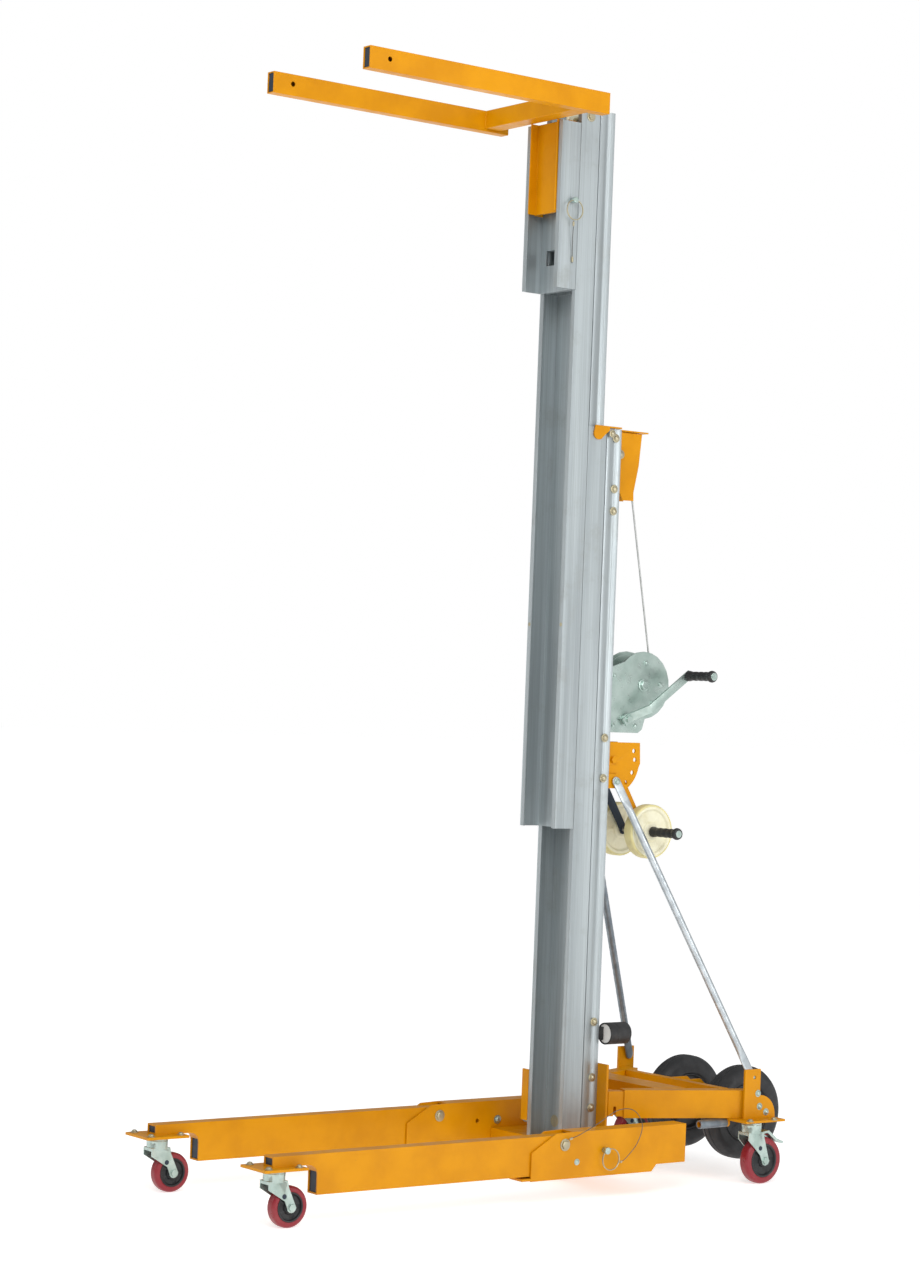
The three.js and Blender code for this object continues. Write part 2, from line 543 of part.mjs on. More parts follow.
const bracketSide = [
  [-273, 62], [126, 62], [142, 80], [BRACKET_REAR, 80], [BRACKET_REAR, 180], [-140, 180],
  [-196, 178], [-273, 134],
];
const LEG_PIN_Y = PIVOT_Y + 129;
const LEG_PIN_Z = PIVOT_Z - 21;
const LEG_RING = 27;
for (const [side, name] of [[1, 'left'], [-1, 'right']]) {
  const span2 = (a, b) => [Math.min(side * a, side * b), Math.max(side * a, side * b)];
  const bores = [
    circle(PIVOT_Y, PIVOT_Z, 8.05, 20), circle(LEG_PIN_Y, LEG_PIN_Z, 6.1, 16),
  ];
  const [out0, out1] = span2(BRACKET_OUT - BRACKET_PLATE, BRACKET_OUT);
  const [in0, in1] = span2(BRACKET_IN, BRACKET_IN + BRACKET_PLATE);
  const [all0, all1] = span2(BRACKET_IN, BRACKET_OUT);
  add(`leg_bracket_${name}`, join(
    prism(bracketSide, 'x', out0, out1, bores),
    prism(bracketSide, 'x', in0, in1, bores),
    block(all0, all1, -140, BRACKET_REAR, 174.5, 180),
    block(all0, all1, -302, -246, 64, 70),
    block(all0, all1, BRACKET_REAR - 5, BRACKET_REAR, 80, 180),
  ), YELLOW);

  const [leg0, leg1] = span2(LEG_OUTER - LEG_WIDTH, LEG_OUTER);
  const legFoot = LEG_TOP - LEG_HEIGHT;
  const shelf = LEG_TOP - LEG_TIP_HEIGHT;
  const tail = PIVOT_Y + LEG_TAIL;
  const shell = prism([
    [LEG_TIP, LEG_TOP], [LEG_TIP, shelf], [LEG_STEP - 24, shelf],
    ...arc(LEG_STEP - 24, shelf - 24, 24, 80, 0, 5), [LEG_STEP, legFoot],
    [PIVOT_Y + 98, legFoot], [PIVOT_Y + 124, PIVOT_Z - 54], [tail, PIVOT_Z - 12],
    [tail, LEG_TOP],
  ], 'x', leg0, leg1);
  const plateMid = (LEG_OUTER - LEG_WIDTH / 2) * side;
  add(`front_leg_${name}`, cut(
    join(shell, block(plateMid - 54, plateMid + 54, -1090, -968, shelf - 6, shelf + 0.5)),
    block(leg0 + 4, leg1 - 4, LEG_TIP - 1, LEG_STEP + 10, shelf + 4, LEG_TOP - 4),
    block(leg0 + 4, leg1 - 4, LEG_STEP - 1, tail + 1, legFoot + 4, LEG_TOP - 4),
    rod('x', PIVOT_Y, PIVOT_Z, 8.35, leg0 - 1, leg1 + 1, 20),
    rod('x', LEG_PIN_Y, LEG_PIN_Z, 6.6, leg0 - 1, leg1 + 1, 16),
  ), YELLOW);
  const [bolt0, bolt1] = span2(BRACKET_IN - 8, BRACKET_OUT + 8);
  const [head0, head1] = span2(BRACKET_OUT + GAP, BRACKET_OUT + 8);
  const [nut0, nut1] = span2(BRACKET_IN - 8, BRACKET_IN - GAP);
  add(`leg_pivot_bolt_${name}`, join(
    rod('x', PIVOT_Y, PIVOT_Z, 8, bolt0, bolt1, 20),
    rod('x', PIVOT_Y, PIVOT_Z, 12, head0, head1, 6),
    rod('x', PIVOT_Y, PIVOT_Z, 12, nut0, nut1, 6),
  ), ZINC);
  const pin = pullPin(LEG_PIN_Y, LEG_PIN_Z, LEG_OUTER + 0.4, BRACKET_OUT, 6,
    LEG_PIN_Y + 14, LEG_PIN_Z - 23, LEG_RING);
  add(`leg_pin_${name}`, side > 0 ? pin : join(pin.applyMatrix4(
    new THREE.Matrix4().makeRotationZ(Math.PI)).translate(0, 2 * LEG_PIN_Y, 0)), STEEL);
}
add('leg_lanyard_left', cord([
  [BRACKET_OUT + 10, PIVOT_Y + 4, PIVOT_Z + 14], [BRACKET_OUT + 10, PIVOT_Y + 43, PIVOT_Z + 26],
  [BRACKET_OUT + 11, -69, 199], [BRACKET_OUT + 12, -6, 229], [BRACKET_OUT + 12, 48, 226],
  [BRACKET_OUT + 11, 79, 188], [BRACKET_OUT + 10, 66, 142], [BRACKET_OUT + 12, 28, 106],
  [BRACKET_OUT + 13, 6, 95],
], 1, 44), STEEL);

const armSlope = 0.3963; // sideways run of the rear arms for each millimetre rearwards
const armCos = 1 / Math.hypot(1, armSlope);
const armX = (y) => ARM_END_X + (y - ARM_END_Y) * armSlope;
const ARM_FOOT = ARM_TOP - ARM_HEIGHT;
const REAR_CASTER_X = 265;
const REAR_CASTER_Y = 497;
const CASTER_PLATE_TOP = ARM_FOOT - GAP;
for (const [side, name] of [[1, 'left'], [-1, 'right']]) {
  const flip = (points) => (side > 0 ? points : mirrored(points).reverse());
  // outline of the tube in plan, square across its own length
  const strip = (half, y0, y1) => flip([
    [armX(y0) - half * armCos, y0 + half * armCos * armSlope],
    [armX(y0) + half * armCos, y0 - half * armCos * armSlope],
    [armX(y1) + half * armCos, y1 - half * armCos * armSlope],
    [armX(y1) - half * armCos, y1 + half * armCos * armSlope],
  ]);
  const stubY = MAST_REAR + 8 + GAP;
  const stub = flip([
    [armX(stubY) - 16, stubY], [armX(stubY) + 16, stubY],
    [armX(200) + 16, 200], [armX(200) - 16, 200],
  ]);
  add(`rear_arm_${name}`, join(
    cut(
      prism(strip(20, 172, ARM_END_Y), 'z', ARM_FOOT, ARM_TOP),
      prism(strip(16, 150, ARM_END_Y + 30), 'z', ARM_FOOT + 4, ARM_TOP - 4),
    ),
    cut(
      prism(stub, 'z', ARM_FOOT + 4, ARM_TOP - 4),
      block(armX(160) * side - 11, armX(160) * side + 11, 140, 174, 0, ARM_FOOT + 30),
    ),
  ), YELLOW);
  const at = (a, b) => [Math.min(side * a, side * b), Math.max(side * a, side * b)];
  const [plate0, plate1] = at(259.6, 265.6);
  const [caster0, caster1] = at(REAR_CASTER_X - 42, REAR_CASTER_X + 42);
  const bracket = [
    [468, CASTER_PLATE_TOP], [468, 306], [524, 306], [524, 236],
    ...arc(524, 180, 56, 84, 4, 8), [580, CASTER_PLATE_TOP],
  ];
  add(`caster_bracket_${name}`, join(
    prism(bracket, 'x', plate0, plate1, [circle(503, 284, 5, 12)]),
    block(caster0, caster1, 440, 580, CASTER_PLATE_TOP - 6, CASTER_PLATE_TOP),
    prism(circle(225 * side, CASTER_PLATE_TOP - 13, 11), 'y', 345, 446,
      [circle(225 * side, CASTER_PLATE_TOP - 13, 7.5, 16)]),
  ), YELLOW);
}
// Lateral members between the arms, their ends cut to the arms' slant.
function lateral(y0, y1, z0, z1) {
  const half = (y) => armX(y) - 20 / armCos - GAP / armCos;
  return prism([[-half(y0), y0], [half(y0), y0], [half(y1), y1], [-half(y1), y1]], 'z', z0, z1);
}
add('rear_tray', cut(
  lateral(268, 352, 222, 250), lateral(272, 348, 200, 246).scale(1.3, 1, 1),
), YELLOW);

// ---------- transport wheels ----------
// The rear crossbar carries two side plates, and they carry the fixed axle.
const AXLE_Y = 590;
const AXLE_Z = 168;
add('rear_crossbar', join(
  lateral(440, 464, 218, 250),
  ...[-1, 1].map((side) => prism([
    [460, 218], [460, 250], [520, 250], [AXLE_Y + 18, AXLE_Z + 12],
    [AXLE_Y + 18, AXLE_Z - 18], [AXLE_Y - 22, AXLE_Z - 18],
  ], 'x', side > 0 ? 24 : -30, side > 0 ? 30 : -24)),
  rod('x', AXLE_Y, AXLE_Z, 10, -158, 158, 20),
), YELLOW);
for (const [side, name] of [[1, 'left'], [-1, 'right']]) {
  const inner = side > 0 ? 84 : -150;
  const outer = inner + 66;
  add(`transport_wheel_${name}`, turned([
    [10.2, inner], [30, inner], [34, inner + 20], [72, inner + 20], [76, inner + 6],
    [112, inner], [TRANSPORT_RADIUS, inner + 18], [TRANSPORT_RADIUS, outer - 18],
    [112, outer], [76, outer - 6], [72, outer - 20], [34, outer - 20],
    [30, outer], [10.2, outer],
  ], AXLE_Y, AXLE_Z, 24), RUBBER);
}

// ---------- casters ----------
// A swivel fork: race, crown and two legs that lean back to the axle.
function casterFork(x, y, top, radius, width, trail) {
  const half = width / 2 + 2.5;
  const axleY = y + trail;
  const crown = radius * 2 + 7;
  const cheek = [
    [y - 27, crown + 8], [y + 27, crown + 8], [y + 30, crown - 8], [axleY + 13, radius],
    ...arc(axleY, radius, 13, 0, -180, 6), [axleY - 20, radius + 16], [y - 27, crown - 12],
  ];
  return join(
    rod('z', x, y, 27, crown + 4, top - 4, 16),
    rod('z', x, y, 21, top - 6, top - 0.5, 14),
    block(x - half - 3, x + half + 3, y - 27, y + 27, crown, crown + 8),
    prism(cheek, 'x', x - half - 3, x - half),
    prism(cheek, 'x', x + half, x + half + 3),
    rod('x', axleY, radius, 6, x - half - 8, x + half + 8, 12),
    rod('x', axleY, radius, 10, x - half - 8, x - half - 2, 6),
    rod('x', axleY, radius, 10, x + half + 2, x + half + 8, 6),
  );
}

function casterWheel(x, y, radius, width) {
  const half = width / 2;
  return turned([
    [6.15, x - half - 1], [16, x - half - 1], [18, x - half + 5], [radius * 0.7, x - half + 5],
    [radius - 4, x - half], [radius, x - half + 5], [radius, x + half - 5],
    [radius - 4, x + half], [radius * 0.7, x + half - 5], [18, x + half - 5],
    [16, x + half + 1], [6.15, x + half + 1],
  ], y, radius, 20);
}

const FRONT_CASTER_Y = -1029;
const FRONT_TRAIL = 40;
const REAR_TRAIL = 36;
const PEDAL_Y = REAR_CASTER_Y + REAR_TRAIL + 4;
const PEDAL_Z = 2 * REAR_WHEEL_RADIUS + 13;
for (const [side, name] of [[1, 'left'], [-1, 'right']]) {
  const x = side * (LEG_OUTER - LEG_WIDTH / 2);
  const top = LEG_TOP - LEG_TIP_HEIGHT - 6;
  add(`front_caster_fork_${name}`,
    casterFork(x, FRONT_CASTER_Y, top, FRONT_WHEEL_RADIUS, 30, FRONT_TRAIL), ZINC);
  add(`front_caster_wheel_${name}`,
    casterWheel(x, FRONT_CASTER_Y + FRONT_TRAIL, FRONT_WHEEL_RADIUS, 30), MAROON);
  const rx = side * REAR_CASTER_X;
  add(`rear_caster_fork_${name}`, casterFork(
    rx, REAR_CASTER_Y, CASTER_PLATE_TOP - 6, REAR_WHEEL_RADIUS, 32, REAR_TRAIL,
  ), ZINC);
  add(`rear_caster_wheel_${name}`,
    casterWheel(rx, REAR_CASTER_Y + REAR_TRAIL, REAR_WHEEL_RADIUS, 32), MAROON);
  add(`brake_pedal_${name}`, prism([
    [PEDAL_Y - 12, PEDAL_Z - 4], [PEDAL_Y + 6, PEDAL_Z - 2], [PEDAL_Y + 36, PEDAL_Z - 26],
    [PEDAL_Y + 62, PEDAL_Z - 34], [PEDAL_Y + 64, PEDAL_Z - 28], [PEDAL_Y + 40, PEDAL_Z - 19],
    [PEDAL_Y + 10, PEDAL_Z + 5], [PEDAL_Y - 12, PEDAL_Z + 3],
  ], 'x', rx - 17, rx + 17), ZINC);
}

// ---------- rubber rest at the mast's foot ----------
const REST_X = 85;
const REST_Z = 395;
add('rest_cylinder', join(
  block(30, REST_X + 22, MAST_REAR + GAP, MAST_REAR + 5, REST_Z - 17, REST_Z + 17),
  prism(circle(REST_X, REST_Z, 29, 32), 'y', MAST_REAR + 4.5, MAST_REAR + 76),
), RUBBER);

// The origin is on the floor under the middle of the lift.
const bounds = new THREE.Box3().setFromObject(lift);
lift.position.y = -(bounds.min.y + bounds.max.y) / 2;

export default lift;
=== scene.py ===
"""A hand-winch material lift: finishes, turned and swept pieces, light and camera.

Lengths are in metres. Places are given from the front face of the base mast, which
is read from the frame, so y is counted rearwards from there. A pair of numbers for a
place is (y, z), and DRUM is the winch drum's axis.
"""

import logging
import math
from dataclasses import dataclass
from enum import Enum

import bmesh
import bpy
import numpy as np
from mathutils import Matrix, Vector


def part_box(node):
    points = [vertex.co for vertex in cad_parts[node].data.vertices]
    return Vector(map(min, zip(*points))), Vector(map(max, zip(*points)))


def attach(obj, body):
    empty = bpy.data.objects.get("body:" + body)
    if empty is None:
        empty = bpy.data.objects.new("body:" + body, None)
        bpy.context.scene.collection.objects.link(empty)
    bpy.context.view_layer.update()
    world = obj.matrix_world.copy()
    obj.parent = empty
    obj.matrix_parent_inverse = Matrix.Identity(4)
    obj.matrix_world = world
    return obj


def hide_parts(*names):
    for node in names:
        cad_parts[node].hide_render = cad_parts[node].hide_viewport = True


LOG = logging.getLogger("material_lift")
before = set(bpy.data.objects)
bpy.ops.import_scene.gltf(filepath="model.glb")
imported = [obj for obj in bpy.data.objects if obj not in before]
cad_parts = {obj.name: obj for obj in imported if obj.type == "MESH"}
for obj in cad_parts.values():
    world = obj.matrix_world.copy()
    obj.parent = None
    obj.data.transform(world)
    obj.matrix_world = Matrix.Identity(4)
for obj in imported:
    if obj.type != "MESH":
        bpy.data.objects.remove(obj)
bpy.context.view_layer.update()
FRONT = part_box("base_mast")[0][1]
DRUM = (0.253, 1.322)


class Axis(Enum):
    """The line that a turned piece is turned about."""

    X = 0
    Y = 1
    Z = 2


class Side(Enum):
    """The two sides of the lift, with the sign of their x."""

    LEFT = 1
    RIGHT = -1

    @property
    def word(self) -> str:
        """The side's name as the nodes spell it."""
        return self.name.lower()


# ---------------------------------------------------------------- finishes


class Bench:
    """Builds one material's nodes round a Principled shader."""

    def __init__(self, name: str, metallic: float, coat: float = 0.0) -> None:
        """Starts a material.

        Args:
            name: the material's name.
            metallic: how metallic the surface is, the same all over.
            coat: weight of the clear coat, the same all over.
        """
        self.material = bpy.data.materials.new(name)
        self.material.use_nodes = True
        self.tree = self.material.node_tree
        self.shader = self.tree.nodes["Principled BSDF"]
        self.shader.inputs["Metallic"].default_value = metallic
        self.shader.inputs["Coat Weight"].default_value = coat
        self.shader.inputs["Coat Roughness"].default_value = 0.18
        self.place = self.tree.nodes.new("ShaderNodeTexCoord").outputs["Object"]

    def stretched(self, scale: tuple[float, float, float]):
        """The object's coordinates, multiplied along each axis by scale."""
        node = self.tree.nodes.new("ShaderNodeMapping")
        node.inputs["Scale"].default_value = scale
        self.tree.links.new(self.place, node.inputs["Vector"])
        return node.outputs["Vector"]

    def noise(self, scale: float, detail: float = 4.0, source=None, rough: float = 0.55):
        """A cloud pattern.

        Args:
            scale: features to the metre.
            detail: how many finer layers are added.
            source: coordinates, or None for the object's own.
            rough: weight of the finer layers.

        Returns:
            The socket with the pattern's value.
        """
        node = self.tree.nodes.new("ShaderNodeTexNoise")
        node.inputs["Scale"].default_value = scale
        node.inputs["Detail"].default_value = detail
        node.inputs["Roughness"].default_value = rough
        self.tree.links.new(source or self.place, node.inputs["Vector"])
        return node.outputs["Fac"]

    def cells(self, scale: float):
        """A pattern of flat cells, scale to the metre, each with its own shade."""
        node = self.tree.nodes.new("ShaderNodeTexVoronoi")
        node.inputs["Scale"].default_value = scale
        self.tree.links.new(self.place, node.inputs["Vector"])
        grey = self.tree.nodes.new("ShaderNodeRGBToBW")
        self.tree.links.new(node.outputs["Color"], grey.inputs["Color"])
        return grey.outputs["Val"]

    def ramp(self, value, low: float, high: float, bottom: float, top: float):
        """Carries value from the range low to high onto the range bottom to top."""
        node = self.tree.nodes.new("ShaderNodeMapRange")
        node.interpolation_type = "SMOOTHSTEP"
        for name, number in (
            ("From Min", low), ("From Max", high), ("To Min", bottom), ("To Max", top),
        ):
            node.inputs[name].default_value = number
        self.tree.links.new(value, node.inputs["Value"])
        return node.outputs["Result"]

    def mix(self, factor, first, second):
        """Blends two colours by factor.

        Args:
            factor: socket from 0 to 1.
            first: colour or socket at 0.
            second: colour or socket at 1.

        Returns:
            The socket with the blended colour.
        """
        node = self.tree.nodes.new("ShaderNodeMix")
        node.data_type = "RGBA"
        self.tree.links.new(factor, node.inputs["Factor"])
        for socket, colour in ((node.inputs[6], first), (node.inputs[7], second)):
            if isinstance(colour, tuple):
                socket.default_value = (*colour, 1.0)
            else:
                self.tree.links.new(colour, socket)
        return node.outputs[2]

    def colour(self, source) -> None:
        """Joins a socket to the shader's colour."""
        self.tree.links.new(source, self.shader.inputs["Base Color"])

    def roughness(self, source) -> None:
        """Joins a socket to the shader's roughness."""
        self.tree.links.new(source, self.shader.inputs["Roughness"])

    def bump(self, height, strength: float, depth: float) -> None:
        """Raises the surface by height, over any bump already there.

        Args:
            height: socket with the height.
            strength: how strongly it shows.
            depth: height of 1 in metres.
        """
        node = self.tree.nodes.new("ShaderNodeBump")
        node.inputs["Strength"].default_value = strength
        node.inputs["Distance"].default_value = depth
        self.tree.links.new(height, node.inputs["Height"])
        old = self.shader.inputs["Normal"]
        if old.is_linked:
            self.tree.links.new(old.links[0].from_socket, node.inputs["Normal"])
        self.tree.links.new(node.outputs["Normal"], old)


@dataclass(frozen=True)
class PowderCoat:
    """Glossy sprayed paint with a faint orange peel, dull patches and small chips."""

    name: str
    slot: str
    lit: tuple[float, float, float]
    shaded: tuple[float, float, float]
    chip: tuple[float, float, float] = (0.10, 0.07, 0.04)

    def material(self) -> bpy.types.Material:
        """The paint as a material."""
        bench = Bench(self.name, 0.0, 0.08)
        bench.shader.inputs["Specular IOR Level"].default_value = 0.16
        clouds = bench.ramp(bench.noise(7.0, 5.0), 0.35, 0.68, 0.0, 1.0)
        paint = bench.mix(clouds, self.lit, self.shaded)
        chips = bench.ramp(bench.noise(85.0, 9.0, rough=0.7), 0.70, 0.735, 0.0, 0.8)
        bench.colour(bench.mix(chips, paint, self.chip))
        bench.roughness(bench.ramp(bench.noise(22.0, 6.0), 0.3, 0.7, 0.30, 0.50))
        bench.bump(bench.noise(620.0, 2.0), 0.12, 0.0004)
        return bench.material


@dataclass(frozen=True)
class Extrusion:
    """Drawn aluminium: fine lengthwise die lines, dull stains and handling marks."""

    name: str
    slot: str
    bright: tuple[float, float, float]
    dull: tuple[float, float, float]

    def material(self) -> bpy.types.Material:
        """The aluminium as a material."""
        bench = Bench(self.name, 0.72)
        lines = bench.noise(1.0, 3.0, bench.stretched((420.0, 420.0, 1.4)))
        bands = bench.noise(1.0, 4.0, bench.stretched((34.0, 34.0, 0.9)))
        stains = bench.ramp(bench.noise(9.0, 8.0, rough=0.7), 0.52, 0.72, 0.0, 0.55)
        drawn = bench.mix(bench.ramp(bands, 0.34, 0.66, 0.0, 1.0), self.bright, self.dull)
        streaked = bench.mix(bench.ramp(lines, 0.42, 0.72, 0.0, 0.35), drawn, (0.27, 0.29, 0.29))
        bench.colour(bench.mix(stains, streaked, (0.33, 0.35, 0.34)))
        bench.roughness(bench.ramp(lines, 0.3, 0.7, 0.34, 0.56))
        bench.bump(lines, 0.16, 0.0003)
        bench.bump(bench.noise(160.0, 4.0), 0.05, 0.0004)
        return bench.material


@dataclass(frozen=True)
class Plating:
    """Plated steel: a slightly cloudy shine with dark specks, and crystals on zinc."""

    name: str
    slot: str
    bright: tuple[float, float, float]
    cloud: tuple[float, float, float]
    crystals: float
    smooth: float

    def material(self) -> bpy.types.Material:
        """The plating as a material."""
        bench = Bench(self.name, 0.85)
        cloud = bench.ramp(bench.noise(30.0, 6.0), 0.35, 0.7, 0.0, 1.0)
        plate = bench.mix(cloud, self.bright, self.cloud)
        if self.crystals:
            grain = bench.ramp(bench.cells(self.crystals), 0.2, 0.8, 0.0, 0.5)
            plate = bench.mix(grain, plate, tuple(0.7 * part for part in self.bright))
        specks = bench.ramp(bench.noise(240.0, 6.0, rough=0.7), 0.68, 0.74, 0.0, 0.75)
        bench.colour(bench.mix(specks, plate, (0.08, 0.085, 0.08)))
        bench.roughness(bench.ramp(
            bench.noise(60.0, 5.0), 0.3, 0.7, self.smooth, self.smooth + 0.16))
        bench.bump(bench.noise(380.0, 3.0), 0.06, 0.0003)
        return bench.material


@dataclass(frozen=True)
class Moulding:
    """Rubber, nylon or polyurethane: matt, with a fine grain, dust and scuffs."""

    name: str
    slot: str
    body: tuple[float, float, float]
    dust: tuple[float, float, float]
    dusty: float
    smooth: float
    grain: float = 700.0

    def material(self) -> bpy.types.Material:
        """The moulding as a material."""
        bench = Bench(self.name, 0.0)
        film = bench.ramp(bench.noise(26.0, 7.0, rough=0.65), 0.42, 0.75, 0.0, self.dusty)
        flecks = bench.ramp(bench.noise(190.0, 6.0, rough=0.7), 0.64, 0.72, 0.0, self.dusty)
        bench.colour(bench.mix(flecks, bench.mix(film, self.body, self.dust), self.dust))
        bench.roughness(bench.ramp(
            bench.noise(48.0, 5.0), 0.3, 0.7, self.smooth, self.smooth + 0.18))
        bench.bump(bench.noise(self.grain, 3.0), 0.18, 0.0003)
        return bench.material


YELLOW = PowderCoat("yellow_powder_coat", "yellow_paint", (0.66, 0.275, 0.0), (0.57, 0.225, 0.0))
RED = PowderCoat("red_knob_paint", "yellow_paint", (0.62, 0.02, 0.02), (0.45, 0.015, 0.015))
NAVY = PowderCoat("dark_satin_paint", "dark_steel", (0.035, 0.05, 0.075), (0.025, 0.035, 0.05))
MILL = Extrusion("drawn_aluminium", "mill_aluminium", (0.47, 0.52, 0.535), (0.35, 0.39, 0.405))
ZINC = Plating("bright_zinc", "zinc_plate", (0.48, 0.58, 0.54), (0.36, 0.46, 0.42), 0.0, 0.26)
# A darker copy of the galvanised finish: painted shade, standing for galvanised tube that lies in
# shade.
SHADED_TUBE = Plating(
    "shaded_galvanised_tube", "galvanised_steel", (0.26, 0.30, 0.33), (0.17, 0.20, 0.23), 55.0, 0.36)
LEASH = Plating("dark_wire", "steel", (0.16, 0.15, 0.13), (0.10, 0.10, 0.09), 0.0, 0.36)
SPANGLE = Plating(
    "galvanised_tube", "galvanised_steel", (0.60, 0.65, 0.68), (0.48, 0.53, 0.56), 55.0, 0.32)
STEEL = Plating("bright_steel", "steel", (0.50, 0.51, 0.50), (0.40, 0.41, 0.40), 0.0, 0.28)
BRASSY = Plating("passivated_bolts", "steel", (0.50, 0.45, 0.30), (0.40, 0.36, 0.26), 0.0, 0.34)
TYRE = Moulding("tyre_rubber", "black_rubber", (0.011, 0.012, 0.014), (0.06, 0.06, 0.065), 0.3, 0.46)
HUB = Moulding("hub_plastic", "black_rubber", (0.010, 0.011, 0.013), (0.05, 0.05, 0.05), 0.4, 0.38)
GRIP = Moulding("grip_rubber", "black_rubber", (0.012, 0.012, 0.013), (0.06, 0.06, 0.06), 0.4, 0.42)
NYLON = Moulding(
    "cast_nylon", "cream_nylon", (0.80, 0.77, 0.58), (0.62, 0.55, 0.30), 0.45, 0.36, 420.0)
WORN_NYLON = Moulding(
    "worn_nylon", "cream_nylon", (0.74, 0.67, 0.33), (0.50, 0.42, 0.18), 0.5, 0.40, 420.0)
TREAD = Moulding(
    "polyurethane_tread", "maroon_tread", (0.24, 0.008, 0.018), (0.30, 0.10, 0.09), 0.3, 0.26)
CAP = Moulding("white_cap", "cream_nylon", (0.72, 0.72, 0.70), (0.45, 0.45, 0.43), 0.4, 0.36)

Finish = PowderCoat | Extrusion | Plating | Moulding


class Finishes:
    """Keeps one material for each finish."""

    made: dict[str, bpy.types.Material] = {}

    @classmethod
    def of(cls, finish: Finish) -> bpy.types.Material:
        """The finish's material, made on first use."""
        if finish.name not in cls.made:
            cls.made[finish.name] = finish.material()
        return cls.made[finish.name]


# ---------------------------------------------------------------- surfaces


def rounded(outline: list[tuple[float, float]], radius: float, steps: int = 4) -> np.ndarray:
    """Rounds a closed outline: each corner P becomes the parabola that leaves the edge
    before it at distance d, is drawn towards P, and meets the edge after it at d, where
    d is the smaller of radius and 0.45 of either edge.

    Args:
        outline: corners in order.
        radius: distance from a corner at which its curve begins.
        steps: spans in each curve.

    Returns:
        Points as an array of rows (u, v).
    """
    corner = np.array(outline, float)
    before = np.roll(corner, 1, axis=0) - corner
    after = np.roll(corner, -1, axis=0) - corner
    long_before = np.linalg.norm(before, axis=1, keepdims=True)
    long_after = np.linalg.norm(after, axis=1, keepdims=True)
    reach = np.minimum(radius, 0.45 * np.minimum(long_before, long_after))
    start = corner + before / long_before * reach
    end = corner + after / long_after * reach
    t = np.linspace(0.0, 1.0, steps + 1)[None, :, None]
    curve = (
        (1 - t) ** 2 * start[:, None] + 2 * t * (1 - t) * corner[:, None] + t**2 * end[:, None]
    )
    return curve.reshape(-1, 2)


def rod(radius: float, start: float, end: float, soft: float, steps: int = 4) -> np.ndarray:
    """The outline of a solid round bar, for Shell.turn, with its corners rounded.

    Args:
        radius: of the bar.
        start: where it begins along the axis.
        end: where it ends.
        soft: distance from a corner at which its curve begins.
        steps: spans in each curve.

    Returns:
        Rows (radius, along).
    """
    return rounded([(0.0, start), (radius, start), (radius, end), (0.0, end)], soft, steps)


def circle(sides: int) -> np.ndarray:
    """A ring of that many points at radius 1, as rows (u, v)."""
    turn = np.linspace(0, 2 * np.pi, sides, endpoint=False)
    return np.column_stack([np.cos(turn), np.sin(turn)])


def through(points: list[tuple[float, float, float]], count: int) -> np.ndarray:
    """A smooth line through points: between two neighbours, the cubic whose slope at each
    is half the way from the point before to the point after.

    Args:
        points: points that the line passes.
        count: points in the result.

    Returns:
        The line as an array of rows (x, y, z).
    """
    knot = np.array(points, float)
    padded = np.vstack([2 * knot[0] - knot[1], knot, 2 * knot[-1] - knot[-2]])
    slope = (padded[2:] - padded[:-2]) / 2
    along = np.linspace(0, len(knot) - 1, count)
    cell = np.minimum(along.astype(int), len(knot) - 2)
    t = (along - cell)[:, None]
    return (
        (2 * t**3 - 3 * t**2 + 1) * knot[cell] + (t**3 - 2 * t**2 + t) * slope[cell]
        + (3 * t**2 - 2 * t**3) * knot[cell + 1] + (t**3 - t**2) * slope[cell + 1]
    )


def length_of(path: np.ndarray) -> float:
    """The sum of the distances between a path's neighbouring points."""
    return float(np.linalg.norm(np.diff(path, axis=0), axis=1).sum())


